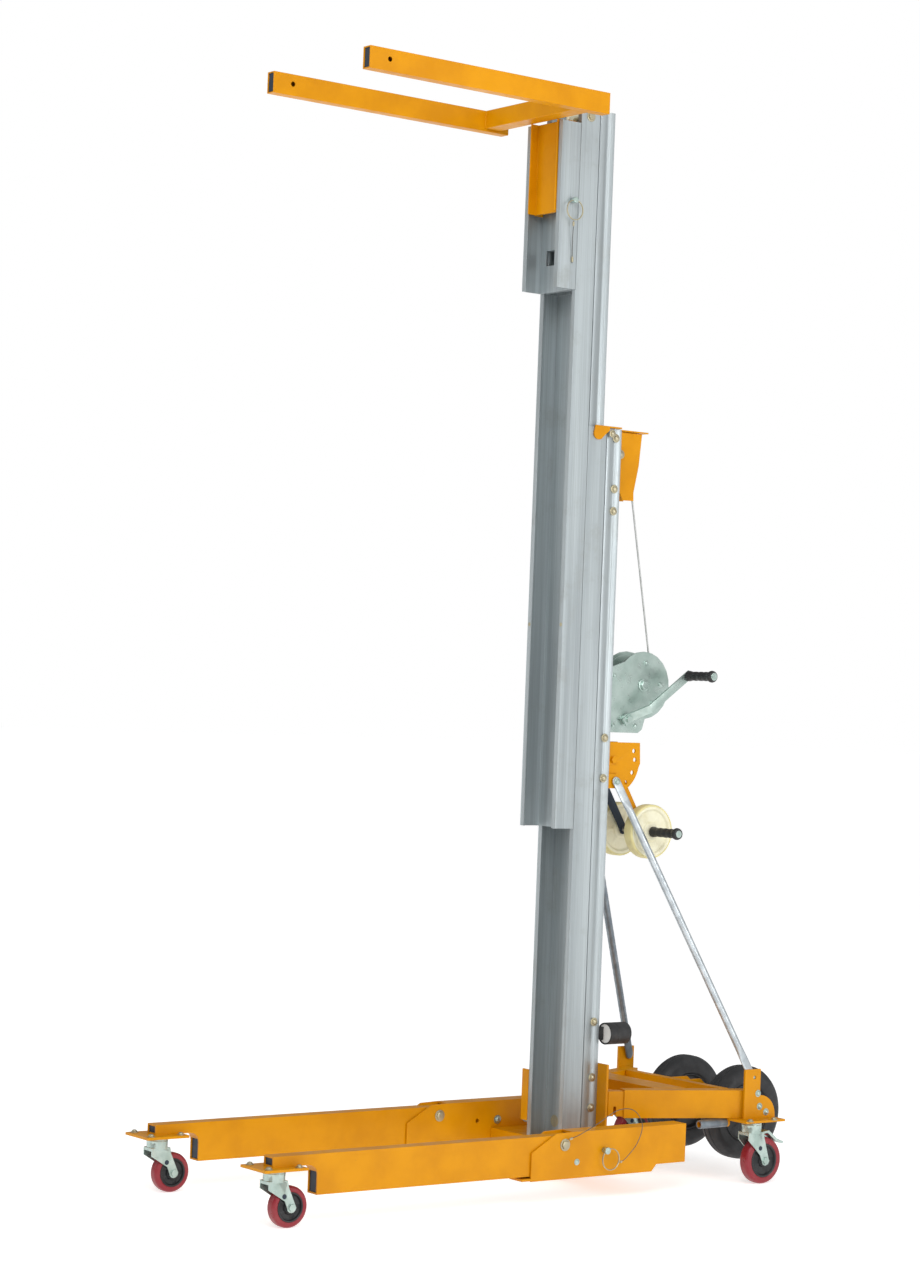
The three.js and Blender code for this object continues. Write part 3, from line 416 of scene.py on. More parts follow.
class Shell:
    """Gathers surfaces into one mesh, and then makes it a piece of the lift."""

    def __init__(self) -> None:
        """Starts with no surfaces."""
        self.points: list[np.ndarray] = []
        self.faces: list[list[int]] = []
        self.count = 0

    def grid(self, points: np.ndarray, close_u: bool = False, close_v: bool = False) -> None:
        """Adds a table of points as a surface, with one quad for each cell.

        Args:
            points: array of m by n places.
            close_u: the last row joins the first.
            close_v: the last column joins the first.
        """
        rows, columns, _ = points.shape
        index = np.arange(rows * columns).reshape(rows, columns) + self.count
        if close_u:
            index = np.vstack([index, index[:1]])
        if close_v:
            index = np.hstack([index, index[:, :1]])
        quads = np.stack(
            [index[:-1, :-1], index[1:, :-1], index[1:, 1:], index[:-1, 1:]], axis=-1)
        self.points.append(points.reshape(-1, 3))
        self.faces.extend(quads.reshape(-1, 4).tolist())
        self.count += rows * columns

    def cap(self, ring: np.ndarray) -> None:
        """Closes a ring of points with one flat face."""
        self.points.append(ring)
        self.faces.append(list(range(self.count, self.count + len(ring))))
        self.count += len(ring)

    def turn(
        self, profile: np.ndarray, centre: tuple[float, float, float], axis: Axis,
        sides: int = 64, teeth: int = 0, depth: float = 0.0, low: float = 0.0,
        ribs: int = 0, raised: float = 0.0,
    ) -> None:
        """Adds a profile turned about an axis. The point at turn a is at radius r, less
        depth where the cosine of teeth times a is low and r is over the low limit, and its
        place along the axis grows outwards by up to raised where the cosine of ribs times a
        is high and r lies between 0.22 and 0.80 of the profile's reach.

        Args:
            profile: closed outline of rows (radius, along).
            centre: a point on the axis, from which along is counted.
            axis: the axis.
            sides: steps in a full turn.
            teeth: teeth round the rim.
            depth: depth of the teeth.
            low: radius beyond which teeth are cut.
            ribs: ribs on the faces.
            raised: height of the ribs.
        """
        turn = np.linspace(0, 2 * np.pi, sides, endpoint=False)[:, None]
        radius = np.repeat(profile[None, :, 0], sides, axis=0)
        along = np.repeat(profile[None, :, 1], sides, axis=0)
        if teeth:
            gap = 0.5 - 0.5 * np.clip(1.9 * np.cos(teeth * turn), -1, 1)
            radius = np.where(radius > low, radius - depth * gap, radius)
        if ribs:
            reach = (radius - radius.min()) / np.ptp(radius)
            web = np.clip(8 * (reach - 0.22), 0, 1) * np.clip(8 * (0.80 - reach), 0, 1)
            lift = raised * web * np.clip(2.5 * np.cos(ribs * turn) - 1.2, 0, 1)
            along = along + lift * np.sign(along - along.mean())
        across = [radius * np.cos(turn), radius * np.sin(turn)]
        order = {
            Axis.X: [along, *across], Axis.Y: [across[0], along, across[1]],
            Axis.Z: [*across, along],
        }[axis]
        self.grid(np.stack(order, axis=-1) + np.array(centre), True, True)

    def sweep(
        self, path: np.ndarray, section: np.ndarray, side: tuple[float, float, float],
        closed: bool = False,
    ) -> None:
        """Adds a closed section carried along a path. At each point of the path the
        section lies across it: its first measure runs along the part of side that is
        square to the path, and its second square to both.

        Args:
            path: rows (x, y, z).
            section: rows (u, v), or such a table for every point of the path.
            side: direction that the section's first measure follows.
            closed: the path's end joins its start.
        """
        forward = np.gradient(path, axis=0)
        if closed:
            forward = np.roll(path, -1, axis=0) - np.roll(path, 1, axis=0)
        forward /= np.linalg.norm(forward, axis=1, keepdims=True)
        lead = np.array(side, float)
        first = lead - (forward @ lead)[:, None] * forward
        first /= np.linalg.norm(first, axis=1, keepdims=True)
        second = np.cross(forward, first)
        rows = section if section.ndim == 3 else np.repeat(section[None], len(path), axis=0)
        ring = (
            path[:, None] + rows[:, :, :1] * first[:, None] + rows[:, :, 1:] * second[:, None])
        self.grid(ring, closed, True)
        if not closed:
            self.cap(ring[0])
            self.cap(ring[-1])

    def block(self, low: tuple[float, float, float], high: tuple[float, float, float]) -> None:
        """Adds a box between two corners."""
        a, b = np.array(low, float), np.array(high, float)
        floor = np.array([[a[0], a[1]], [b[0], a[1]], [b[0], b[1]], [a[0], b[1]]])
        rings = [np.column_stack([floor, np.full(4, z)]) for z in (a[2], b[2])]
        self.grid(np.stack(rings), False, True)
        self.cap(rings[0])
        self.cap(rings[1])

    def bolt(
        self, seat: tuple[float, float, float], axis: Axis, way: int, radius: float,
        height: float, domed: bool = False,
    ) -> None:
        """Adds a hexagon head on a washer, the head's rim chamfered, or a domed nut, whose
        height falls as a quarter ellipse from its middle.

        Args:
            seat: middle of the washer's underside.
            axis: the bolt's axis.
            way: 1 if it points along the axis, -1 if against it.
            radius: to the head's corners.
            height: of the head above the washer.
            domed: a domed nut in place of a plain head.
        """
        thin = 0.16 * radius
        washer = rounded(
            [(0.2 * radius, -0.3 * thin), (1.35 * radius, -0.3 * thin), (1.35 * radius, thin),
             (0.2 * radius, thin)], 0.3 * thin, 2)
        head = np.array([
            (0.0, thin * 0.5), (radius, thin * 0.5), (radius, thin + 0.8 * height),
            (0.88 * radius, thin + height), (0.0, thin + height)])
        shapes = [(washer, 28), (head, 6)]
        if domed:
            lean = np.linspace(0, np.pi / 2, 7)
            dome = np.column_stack([0.86 * radius * np.cos(lean), thin + height * (
                0.55 + 0.75 * np.sin(lean))])
            shapes.append((np.vstack([[(0.0, thin)], dome]), 24))
            head[2:, 1] = [thin + 0.45 * height, thin + 0.55 * height, thin + 0.55 * height]
        for profile, sides in shapes:
            self.turn(profile * np.array([1.0, way]), seat, axis, sides)

    def stud(
        self, seat: tuple[float, float, float], axis: Axis, way: int, radius: float,
    ) -> None:
        """Adds a flat stud, low enough for a mast section to run over: a rim, a shallow
        ring groove and a raised middle.

        Args:
            seat: middle of the face that it stands on.
            axis: its axis.
            way: 1 if it faces along the axis, -1 if against it.
            radius: of its rim.
        """
        tall = 0.0006
        outline = rounded(
            [(0.0, -tall), (radius, -tall), (radius, tall), (0.62 * radius, tall),
             (0.58 * radius, 0.2 * tall), (0.50 * radius, 0.2 * tall), (0.46 * radius, tall),
             (0.0, tall)], 0.0002, 2)
        self.turn(outline * np.array([1.0, way]), seat, axis, 40)

    def piece(
        self, name: str, finish: Finish, body: str, nodes: tuple[str, ...] = (),
        soft: float = 0.0, sharp: float = 38.0,
    ) -> bpy.types.Object:
        """Makes the gathered surfaces one piece.

        Args:
            name: the piece's name.
            finish: what it is finished in.
            body: the body that it moves with.
            nodes: CAD nodes that it stands for.
            soft: width of a small bevel on its edges, or 0.
            sharp: angle in degrees over which an edge stays sharp.

        Returns:
            The piece.
        """
        mesh = bpy.data.meshes.new(name)
        mesh.from_pydata(np.vstack(self.points).tolist(), [], self.faces)
        work = bmesh.new()
        work.from_mesh(mesh)
        bmesh.ops.remove_doubles(work, verts=work.verts, dist=2e-6)
        bmesh.ops.dissolve_degenerate(work, edges=work.edges, dist=1e-7)
        bmesh.ops.recalc_face_normals(work, faces=work.faces)
        work.to_mesh(mesh)
        work.free()
        return settle(mesh, name, finish, body, nodes, soft, sharp)


def settle(
    mesh: bpy.types.Mesh, name: str, finish: Finish, body: str, nodes: tuple[str, ...],
    soft: float, sharp: float,
) -> bpy.types.Object:
    """Puts a mesh in the scene as a piece.

    Args:
        mesh: the mesh, already in place.
        name: the piece's name.
        finish: what it is finished in.
        body: the body that it moves with.
        nodes: CAD nodes that it stands for.
        soft: width of a small bevel, or 0.
        sharp: angle in degrees over which an edge stays sharp.

    Returns:
        The piece.
    """
    mesh.shade_smooth()
    mesh.set_sharp_from_angle(angle=math.radians(sharp))
    mesh.materials.clear()
    mesh.materials.append(Finishes.of(finish))
    thing = bpy.data.objects.new(name, mesh)
    bpy.context.scene.collection.objects.link(thing)
    if soft:
        bevel = thing.modifiers.new("edges", "BEVEL")
        bevel.width = soft
        bevel.segments = 3
        bevel.limit_method = "ANGLE"
        bevel.angle_limit = math.radians(sharp)
        bevel.harden_normals = True
    if nodes:
        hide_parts(*nodes)
    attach(thing, body)
    LOG.info("%s: %d faces on %s", name, len(mesh.polygons), body)
    return thing


def plate_work(node: str, finish: Finish, body: str, soft: float) -> bpy.types.Object:
    """Makes a CAD node's plate or tube again as one joined mesh with soft edges.

    Args:
        node: the CAD node.
        finish: what it is finished in.
        body: the body that it moves with.
        soft: width of the bevel on its edges.

    Returns:
        The piece that stands for the node.
    """
    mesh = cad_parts[node].data.copy()
    mesh.name = f"{node}_plates"
    work = bmesh.new()
    work.from_mesh(mesh)
    bmesh.ops.remove_doubles(work, verts=work.verts, dist=5e-6)
    bmesh.ops.dissolve_limit(
        work, angle_limit=math.radians(0.6), verts=work.verts, edges=work.edges)
    work.to_mesh(mesh)
    work.free()
    return settle(mesh, f"{node}_plates", finish, body, (node,), soft, 38.0)


# ---------------------------------------------------------------- sub-assemblies


@dataclass
class Mast:
    """The three mast sections, the small top pulley and the bolts in their sides."""

    head_half: float = 0.068
    bolt_line: float = 0.100
    bolt_heights: tuple[float, ...] = (1.975, 1.840, 1.781, 1.178, 1.071, 0.425, 0.278, 0.198)
    inner_axle: tuple[float, float] = (-0.032, 2.814)

    def build(self) -> None:
        """The extrusions, their fastenings and the small pulley."""
        for node, body in (
            ("base_mast", "base"), ("inner_mast", "inner"), ("carriage", "lift_carriage"),
        ):
            plate_work(node, MILL, body, 0.0008)
        plate_work("inner_top_bracket", MILL, "inner", 0.0007)
        self.base_bolts()
        self.inner_bolts()
        self.small_pulley()

    def base_bolts(self) -> None:
        """Bolt heads up both sides of the base mast's head, and one low on its front."""
        shell = Shell()
        for side in Side:
            for height in self.bolt_heights:
                seat = (side.value * self.head_half, FRONT + self.bolt_line, height)
                shell.bolt(seat, Axis.X, side.value, 0.0085, 0.005, True)
        shell.stud((-0.029, FRONT + 0.057, 0.152), Axis.Y, -1, 0.016)
        shell.piece("mast_side_bolts", BRASSY, "base")

    def inner_bolts(self) -> None:
        """The stop bolt low in the inner mast's channel and the dots on its flanges."""
        shell = Shell()
        channel = FRONT - 0.063 + 0.062 - 0.005
        shell.stud((0.012, channel, 0.986), Axis.Y, -1, 0.012)
        for x in (-0.0665, 0.0665):
            shell.stud((x, FRONT - 0.063, 1.472), Axis.Y, -1, 0.005)
        shell.piece("inner_mast_bolts", BRASSY, "inner")
        # A dark disc on the channel's face: painted shade for a round hole.
        hole = Shell()
        hole.turn(
            rod(0.006, -0.0004, 0.001, 0.0002, 2), (0.012, channel, 0.942), Axis.Y, 24)
        hole.piece("inner_mast_hole_shade", NAVY, "inner")

    def small_pulley(self) -> None:
        """The nylon pulley in the inner mast's top, and its axle with hexagon ends."""
        y, z = self.inner_axle
        wheel = Shell()
        wheel.turn(
            rounded([(0.0062, -0.008), (0.019, -0.008), (0.019, -0.006), (0.014, -0.0025),
                     (0.014, 0.0025), (0.019, 0.006), (0.019, 0.008), (0.0062, 0.008)], 0.001),
            (0, FRONT + y, z), Axis.X)
        wheel.piece("top_pulley", NYLON, "inner_pulley", ("inner_sheave",))
        axle = Shell()
        axle.turn(rod(0.006, -0.0745, 0.0745, 0.0005), (0, FRONT + y, z), Axis.X, 32)
        for side in Side:
            seat = (side.value * 0.0743, FRONT + y, z)
            axle.bolt(seat, Axis.X, side.value, 0.010, 0.005)
        axle.piece("top_pulley_axle", BRASSY, "inner", ("inner_axle",))


@dataclass
class PullPin:
    """A pin with a turned head and a split ring of two turns."""

    name: str
    node: str
    body: str
    y: float
    z: float
    tip: float
    face: float
    radius: float
    ring_y: float
    ring_z: float
    ring_radius: float
    way: int = 1

    def build(self) -> None:
        """The pin and its ring."""
        shell = Shell()
        r, tip, face = self.radius, self.tip, self.face
        outline = [
            (0.0, tip), (r - 0.001, tip), (r, tip + 0.001), (r, face + 0.008),
            (r + 0.003, face + 0.008), (r + 0.003, face + 0.018), (0.0, face + 0.018)]
        profile = rounded(outline, 0.0012) * np.array([1.0, self.way])
        shell.turn(profile, (0, FRONT + self.y, self.z), Axis.X, 40)
        shell.piece(f"{self.name}_shank", ZINC, self.body, (self.node,))
        ring = Shell()
        turn = np.linspace(0.2, 4 * np.pi - 0.2, 150)
        path = np.column_stack([
            self.way * (face + 0.013 + 0.0014 * np.cos(turn / 4)),
            FRONT + self.ring_y + self.ring_radius * np.sin(turn),
            self.ring_z + self.ring_radius * np.cos(turn)])
        ring.sweep(path, 0.0013 * circle(12), (1, 0, 0))
        ring.piece(f"{self.name}_ring", BRASSY, self.body)


@dataclass
class Lanyard:
    """A thin round wire leash between two fixed points, with a sleeve near each end."""

    name: str
    node: str
    body: str
    points: tuple[tuple[float, float, float], ...]
    radius: float = 0.001
    steps: int = 140

    def build(self) -> None:
        """The leash, swept along its route, with its sleeves."""
        path = through([(x, FRONT + y, z) for x, y, z in self.points], self.steps)
        shell = Shell()
        shell.sweep(path, self.radius * circle(10), (1, 0, 0))
        piece = shell.piece(self.name, LEASH, self.body, (self.node,))
        self.ferrules(path)

    def ferrules(self, path: np.ndarray) -> None:
        """A crimped sleeve near each end: its radius swells from the wire's to three times
        it as a quarter sine over the first and last fifth of the sleeve."""
        ring = circle(16)
        shell = Shell()
        reach = max(4, int(len(path) * 0.018 / length_of(path)))
        for part in (path[1:reach + 1], path[-reach - 1:-1]):
            s = np.linspace(0, 1, 20)
            line = np.stack([np.interp(s, np.linspace(0, 1, len(part)), part[:, k])
                             for k in range(3)], axis=1)
            grow = np.sin(np.clip(np.minimum(s, 1 - s) / 0.2, 0, 1) * np.pi / 2)
            size = self.radius * (1.05 + 1.9 * grow)
            shell.sweep(line, ring[None] * size[:, None, None], (1, 0, 0))
        shell.piece(f"{self.name}_sleeves", BRASSY, self.body)


@dataclass
class Forks:
    """The two-arm lifting fork, the carriage's tongue and its lock."""

    lock_y: float = -0.085
    lock_z: float = 2.585

    def build(self) -> None:
        """The painted tubes and the lock."""
        for side in Side:
            plate_work(f"fork_{side.word}", YELLOW, "fork", 0.0028)
        plate_work("fork_crossbar", YELLOW, "fork", 0.0025)
        plate_work("fork_tongue", YELLOW, "fork", 0.0010)
        self.welds()
        self.plugs()
        PullPin(
            "fork_lock", "fork_pin", "fork_lock", self.lock_y, self.lock_z, 0.067, 0.074,
            0.005, self.lock_y, self.lock_z - 0.026, 0.026).build()
        Lanyard(
            "fork_leash", "fork_pin_lanyard", "lift_carriage",
            ((0.088, -0.089, 2.530), (0.083, -0.086, 2.498), (0.078, -0.082, 2.458),
             (0.076, -0.079, 2.421)), steps=60).build()

    def plugs(self) -> None:
        """A dark block set back inside the open end of each arm, as painted shade in the opening."""
        shell = Shell()
        wall = 0.0032
        for side in Side:
            low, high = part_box(f"fork_{side.word}")
            shell.block(
                (low[0] + wall, low[1] + 0.003, low[2] + wall),
                (high[0] - wall, low[1] + 0.012, high[2] - wall))
        shell.piece("fork_end_plugs", NAVY, "fork", soft=0.0006)

    def welds(self) -> None:
        """Fillet welds where the crossbar meets the arms: a bead whose half width swells
        and shrinks with the sine of its length, under the same paint."""
        shell = Shell()
        low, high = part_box("fork_crossbar")
        ring = circle(10)
        for side in Side:
            x = side.value * (high[0] - 0.0004)
            for y in (low[1] - 0.0002, high[1] + 0.0002):
                z = np.linspace(low[2] + 0.002, high[2] - 0.002, 60)
                path = np.column_stack([np.full(60, x), np.full(60, y), z])
                size = 0.0024 + 0.0005 * np.sin(z * 1500)
                shell.sweep(path, ring[None] * size[:, None, None], (1, 0, 0))
        shell.piece("fork_welds", YELLOW, "fork")


@dataclass
class RopeWork:
    """The top plate, the sheave in its housing, and the wire rope."""

    sheave: tuple[float, float] = (0.150, 1.938)
    groove: float = 0.048
    on_drum: float = 0.0621
    rope: float = 0.0025
    foot: float = 1.100
    strands: int = 6
    lay: float = 0.022

    def build(self) -> None:
        """The plates, the sheave and the rope."""
        plate_work("mast_top_plate", YELLOW, "base", 0.0010)
        plate_work("sheave_housing", YELLOW, "base", 0.0010)
        y, z = self.sheave
        wheel = Shell()
        wheel.turn(
            rounded([(0.0082, -0.007), (0.054, -0.007), (0.054, -0.005), (0.043, -0.0035),
                     (0.043, 0.0035), (0.054, 0.005), (0.054, 0.007), (0.0082, 0.007)], 0.0012),
            (0, FRONT + y, z), Axis.X, 72)
        wheel.piece("sheave_wheel", NAVY, "top_sheave", ("rope_sheave",))
        bolts = Shell()
        for side in Side:
            bolts.bolt((side.value * 0.079, FRONT + 0.078, 1.985), Axis.X, side.value,
                       0.0075, 0.004, True)
        bolts.bolt((0.030, FRONT + y, z), Axis.X, 1, 0.009, 0.004, True)
        bolts.piece("top_plate_bolts", BRASSY, "base")
        self.wire()

    def route(self, count: int = 900) -> np.ndarray:
        """The rope's centreline: a short arc on the drum, the tangent up to the sheave, the
        arc over it and the straight run down inside the mast, with even spacing.

        Args:
            count: points along it.

        Returns:
            Rows (x, y, z).
        """
        sy, sz = self.sheave
        dy, dz = DRUM
        span = math.hypot(sy - dy, sz - dz)
        lean = math.asin((self.on_drum - self.groove) / span)
        facing = math.atan2(sz - dz, sy - dy) - math.pi / 2 + lean
        wrap = np.linspace(facing - math.radians(36), facing, 30)
        over = np.linspace(facing, math.pi, 60)
        rough = np.vstack([
            np.column_stack([dy + self.on_drum * np.cos(wrap), dz + self.on_drum * np.sin(wrap)]),
            np.column_stack([sy + self.groove * np.cos(over), sz + self.groove * np.sin(over)]),
            [[sy - self.groove, self.foot]]])
        gone = np.concatenate([[0], np.cumsum(np.linalg.norm(np.diff(rough, axis=0), axis=1))])
        even = np.linspace(0, gone[-1], count)
        return np.column_stack([
            np.zeros(count), FRONT + np.interp(even, gone, rough[:, 0]),
            np.interp(even, gone, rough[:, 1])])

    def wire(self) -> None:
        """The laid rope: its radius at turn a is the full one times 0.84 plus 0.16 of the
        size of the cosine of half the strand count times a, which turns with the length."""
        path = self.route()
        gone = np.linspace(0, length_of(path), len(path))[:, None]
        turn = np.linspace(0, 2 * np.pi, 24, endpoint=False)[None]
        twisted = turn - 2 * np.pi * gone / self.lay
        radius = self.rope * (0.84 + 0.16 * np.abs(np.cos(self.strands * twisted / 2)))
        section = np.stack([radius * np.cos(turn), radius * np.sin(turn)], axis=-1)
        shell = Shell()
        shell.sweep(path, section, (1, 0, 0))
        shell.piece("laid_wire_rope", STEEL, "base", ("wire_rope",), sharp=60.0)


def hand_grip(start: float, length: float, bore: float, way: int, end: float) -> np.ndarray:
    """The outline of a hand grip: a collar, a waist with shallow finger waves, each a
    positive half of a sine, and a swollen end.

    Args:
        start: where it begins along the axis.
        length: its length.
        bore: radius of its bore.
        way: 1 if it runs along the axis, -1 if against it.
        end: radius of the swollen end.

    Returns:
        Rows (radius, along).
    """
    s = np.linspace(0.0, 1.0, 70)
    waves = 0.0011 * np.abs(np.sin(s * math.pi * 5))
    radius = 0.0115 + waves + 0.0025 * np.exp(-((s / 0.09) ** 2))
    radius = radius + (end - 0.0125) * np.exp(-(((s - 0.93) / 0.085) ** 2))
    radius[-1] -= 0.0025
    outer = np.column_stack([radius, start + way * length * s])
    inner = np.array([[bore, start + way * length], [bore, start]])
    return np.vstack([outer, inner])


@dataclass
class Winch:
    """The hand winch: side plates, drum with its wound rope, gears, crank and grip."""

    crank: tuple[float, float] = (0.193, 1.230)
    arm: float = 0.208
    angle: float = 35.9
    grip_start: float = 0.098
    grip_length: float = 0.102
    side: float = 0.038
    flange_radius: float = 0.084
    gear_radius: float = 0.079
    shaft_radius: float = 0.009
    teeth: int = 48
    tooth_depth: float = 0.006
    rope_pitch: float = 0.0052

    def build(self) -> None:
        """Every piece of the winch."""
        plate_work("winch_frame", ZINC, "base", 0.0016)
        plate_work("winch_crank", ZINC, "crank", 0.0016)
        self.drum_pieces()
        self.grip()
        self.fastenings()

    def drum_pieces(self) -> None:
        """The flanges and toothed gear, and the rope wound in about eight turns: the
        wound surface's radius swells as a half sine across each turn, and the turns climb
        one pitch for each time round."""
        y, z = DRUM
        centre = (0, FRONT + y, z)
        metal = Shell()
        shaft, rim, gear = self.shaft_radius, self.flange_radius, self.gear_radius
        for a, b in ((-0.032, -0.029), (0.014, 0.017)):
            metal.turn(
                rounded([(shaft, a), (rim, a), (rim, b), (shaft, b)], 0.001), centre, Axis.X, 96)
        a, b = 0.0172, 0.026
        metal.turn(
            rounded([(shaft, a), (gear, a), (gear, b), (shaft, b)], 0.0008), centre, Axis.X,
            480, self.teeth, self.tooth_depth, gear - 0.009)
        metal.turn(rod(shaft, -0.041, 0.041, 0.001), centre, Axis.X, 40)
        for side in Side:
            seat = (side.value * (self.side + 0.001), FRONT + y, z)
            metal.bolt(seat, Axis.X, side.value, 0.013, 0.0075)
        metal.piece("drum_flanges", ZINC, "drum", ("winch_drum",))
        wound = Shell()
        turn = np.linspace(0, 2 * np.pi, 90, endpoint=False)[:, None]
        s = np.linspace(-0.0288, 0.0138, 190)[None, :]
        climb = s / self.rope_pitch - turn / (2 * np.pi)
        radius = 0.0562 + 0.0024 * np.abs(np.sin(np.pi * climb))
        table = np.stack(
            [s + 0 * turn, radius * np.cos(turn), radius * np.sin(turn)], axis=-1)
        wound.grid(table + np.array(centre), True, False)
        wound.piece("wound_rope", STEEL, "drum", sharp=70.0)

    def grip(self) -> None:
        """The crank's turning grip and the bright disc in its end."""
        lean = math.radians(self.angle)
        y = FRONT + self.crank[0] + self.arm * math.cos(lean)
        z = self.crank[1] + self.arm * math.sin(lean)
        shell = Shell()
        shell.turn(
            hand_grip(self.grip_start, self.grip_length, 0.00525, 1, 0.016), (0, y, z),
            Axis.X, 48)
        shell.piece("crank_hand_grip", GRIP, "crank_handle", ("crank_grip",))
        disc = Shell()
        end = self.grip_start + self.grip_length
        disc.turn(
            rounded([(0.0, end), (0.0105, end), (0.0105, end + 0.002), (0.0, end + 0.003)],
                    0.0006), (0, y, z), Axis.X, 40)
        disc.piece("crank_grip_disc", ZINC, "crank")

    def fastenings(self) -> None:
        """Domed rivets round both side plates."""
        shell = Shell()
        for y, z in (
            (0.259, 1.383), (0.312, 1.326), (0.150, 1.345), (0.150, 1.212), (0.228, 1.212),
            (0.286, 1.275),
        ):
            for side in Side:
                shell.bolt((side.value * self.side, FRONT + y, z), Axis.X, side.value,
                           0.006, 0.0035, True)
        shell.piece("winch_rivets", ZINC, "base")


@dataclass
class LoadingFrame:
    """The swinging loading wheels: bracket, arms, axle, two nylon wheels and grips."""

    axle: tuple[float, float] = (0.268, 0.930)
    wheel_inner: float = 0.047
    wheel_outer: float = 0.079
    wheel_radius: float = 0.073
    grip_length: float = 0.106
    axle_half: float = 0.187

    def build(self) -> None:
        """Every piece of the loading frame."""
        plate_work("loading_bracket", YELLOW, "base", 0.0010)
        y, z = self.axle
        axle = Shell()
        axle.turn(
            rod(0.008, -self.axle_half, self.axle_half, 0.001), (0, FRONT + y, z), Axis.X, 40)
        axle.piece("loading_axle_bar", STEEL, "loading_frame", ("loading_axle",))
        for side in Side:
            # The right arm is a yellow arm like the left one; drawing it dark navy is painted shade.
            finish = YELLOW if side is Side.LEFT else NAVY
            plate_work(f"loading_arm_{side.word}", finish, "loading_frame", 0.0010)
            self.wheel(side)
            self.grip(side)

    def wheel(self, side: Side) -> None:
        """One wheel, with six ribs on its web, and its worn rolling ring."""
        y, z = self.axle
        a, b, r = self.wheel_inner, self.wheel_outer, self.wheel_radius
        body = f"load_wheel_{side.word}"
        scale = np.array([1.0, side.value])
        core = rounded(
            [(0.0082, a), (0.024, a), (0.027, a + 0.007), (0.056, a + 0.007), (0.060, a),
             (r - 0.0045, a), (r - 0.0045, b), (0.060, b), (0.056, b - 0.007),
             (0.027, b - 0.007), (0.024, b), (0.0082, b)], 0.003)
        shell = Shell()
        shell.turn(core * scale, (0, FRONT + y, z), Axis.X, 96, ribs=6, raised=0.0022)
        shell.piece(f"loading_roller_{side.word}", NYLON, body, (f"loading_wheel_{side.word}",))
        ring = Shell()
        rim = rounded(
            [(r - 0.006, a - 0.0004), (r - 0.002, a - 0.0004), (r, a + 0.004), (r, b - 0.004),
             (r - 0.002, b + 0.0004), (r - 0.006, b + 0.0004)], 0.002)
        ring.turn(rim * scale, (0, FRONT + y, z), Axis.X, 96)
        ring.piece(f"loading_roller_ring_{side.word}", WORN_NYLON, body)

    def grip(self, side: Side) -> None:
        """The hand grip on one end of the axle, and the disc in its end."""
        y, z = self.axle
        start = self.wheel_outer + 0.004
        shell = Shell()
        shell.turn(
            hand_grip(side.value * start, self.grip_length, 0.0083, side.value, 0.016),
            (0, FRONT + y, z), Axis.X, 48)
        shell.piece(
            f"axle_hand_grip_{side.word}", GRIP, "loading_frame", (f"loading_grip_{side.word}",))
        disc = Shell()
        end = start + self.grip_length
        outline = rod(0.0098, end - 0.003, end + 0.0002, 0.0006)
        disc.turn(outline * np.array([1.0, side.value]), (0, FRONT + y, z), Axis.X, 32)
        disc.piece(f"axle_grip_disc_{side.word}", ZINC, "loading_frame")


@dataclass
class Brace:
    """One tube brace, pressed flat at both ends and bolted through them."""

    side: Side
    top: tuple[float, float, float] = (0.064, 0.150, 1.062)
    foot: tuple[float, float, float] = (0.254, 0.503, 0.284)
    radius: float = 0.010
    press: float = 0.0026
    splay: float = 0.0125
    overhang: float = 0.013

    def build(self) -> None:
        """The tube: between 103 and 58 mm from each end its half thickness falls from the
        radius to press, its half width grows to splay, and the tips are round."""
        way = self.side.value
        a = np.array([way * self.top[0], FRONT + self.top[1], self.top[2]])
        b = np.array([way * self.foot[0], FRONT + self.foot[1], self.foot[2]])
        along = (b - a) / np.linalg.norm(b - a)
        full = np.linalg.norm(b - a) + 2 * self.overhang
        near = 0.5 - 0.5 * np.cos(np.linspace(0, np.pi, 60))
        s = np.concatenate([
            0.11 * near, np.linspace(0.12, full - 0.12, 20), full - 0.11 * near[::-1]])
        edge = np.minimum(s, full - s)
        t = np.clip((edge - 0.058) / 0.045, 0, 1)
        t = t * t * (3 - 2 * t)
        thick = self.press + (self.radius - self.press) * t
        wide = self.splay + (self.radius - self.splay) * t
        tip = np.sqrt(np.clip(1 - ((0.013 - np.minimum(edge, 0.013)) / 0.0131) ** 2, 0.0004, 1))
        path = (a - self.overhang * along)[None] + s[:, None] * along[None]
        turn = np.linspace(0, 2 * np.pi, 36, endpoint=False)[None]
        power = (0.45 + 0.55 * t)[:, None]
        flat_cos = np.sign(np.cos(turn)) * np.abs(np.cos(turn)) ** power
        flat_sin = np.sign(np.sin(turn)) * np.abs(np.sin(turn)) ** power
        section = np.stack([thick[:, None] * flat_cos, (wide * tip)[:, None] * flat_sin], axis=-1)
        shell = Shell()
        shell.sweep(path, section, (1, 0, 0))
        # The right brace is the same galvanised tube as the left; its darker finish is painted
        # shade.
        finish = SPANGLE if self.side is Side.LEFT else SHADED_TUBE
        shell.piece(
            f"brace_tube_{self.side.word}", finish, "base", (f"brace_{self.side.word}",))
        bolts = Shell()
        for x, y, z in (self.top, self.foot):
            seat = (way * (x + self.press + 0.0002), FRONT + y, z)
            bolts.bolt(seat, Axis.X, way, 0.008, 0.0045, True)
        bolts.piece(f"brace_bolts_{self.side.word}", ZINC, "base")


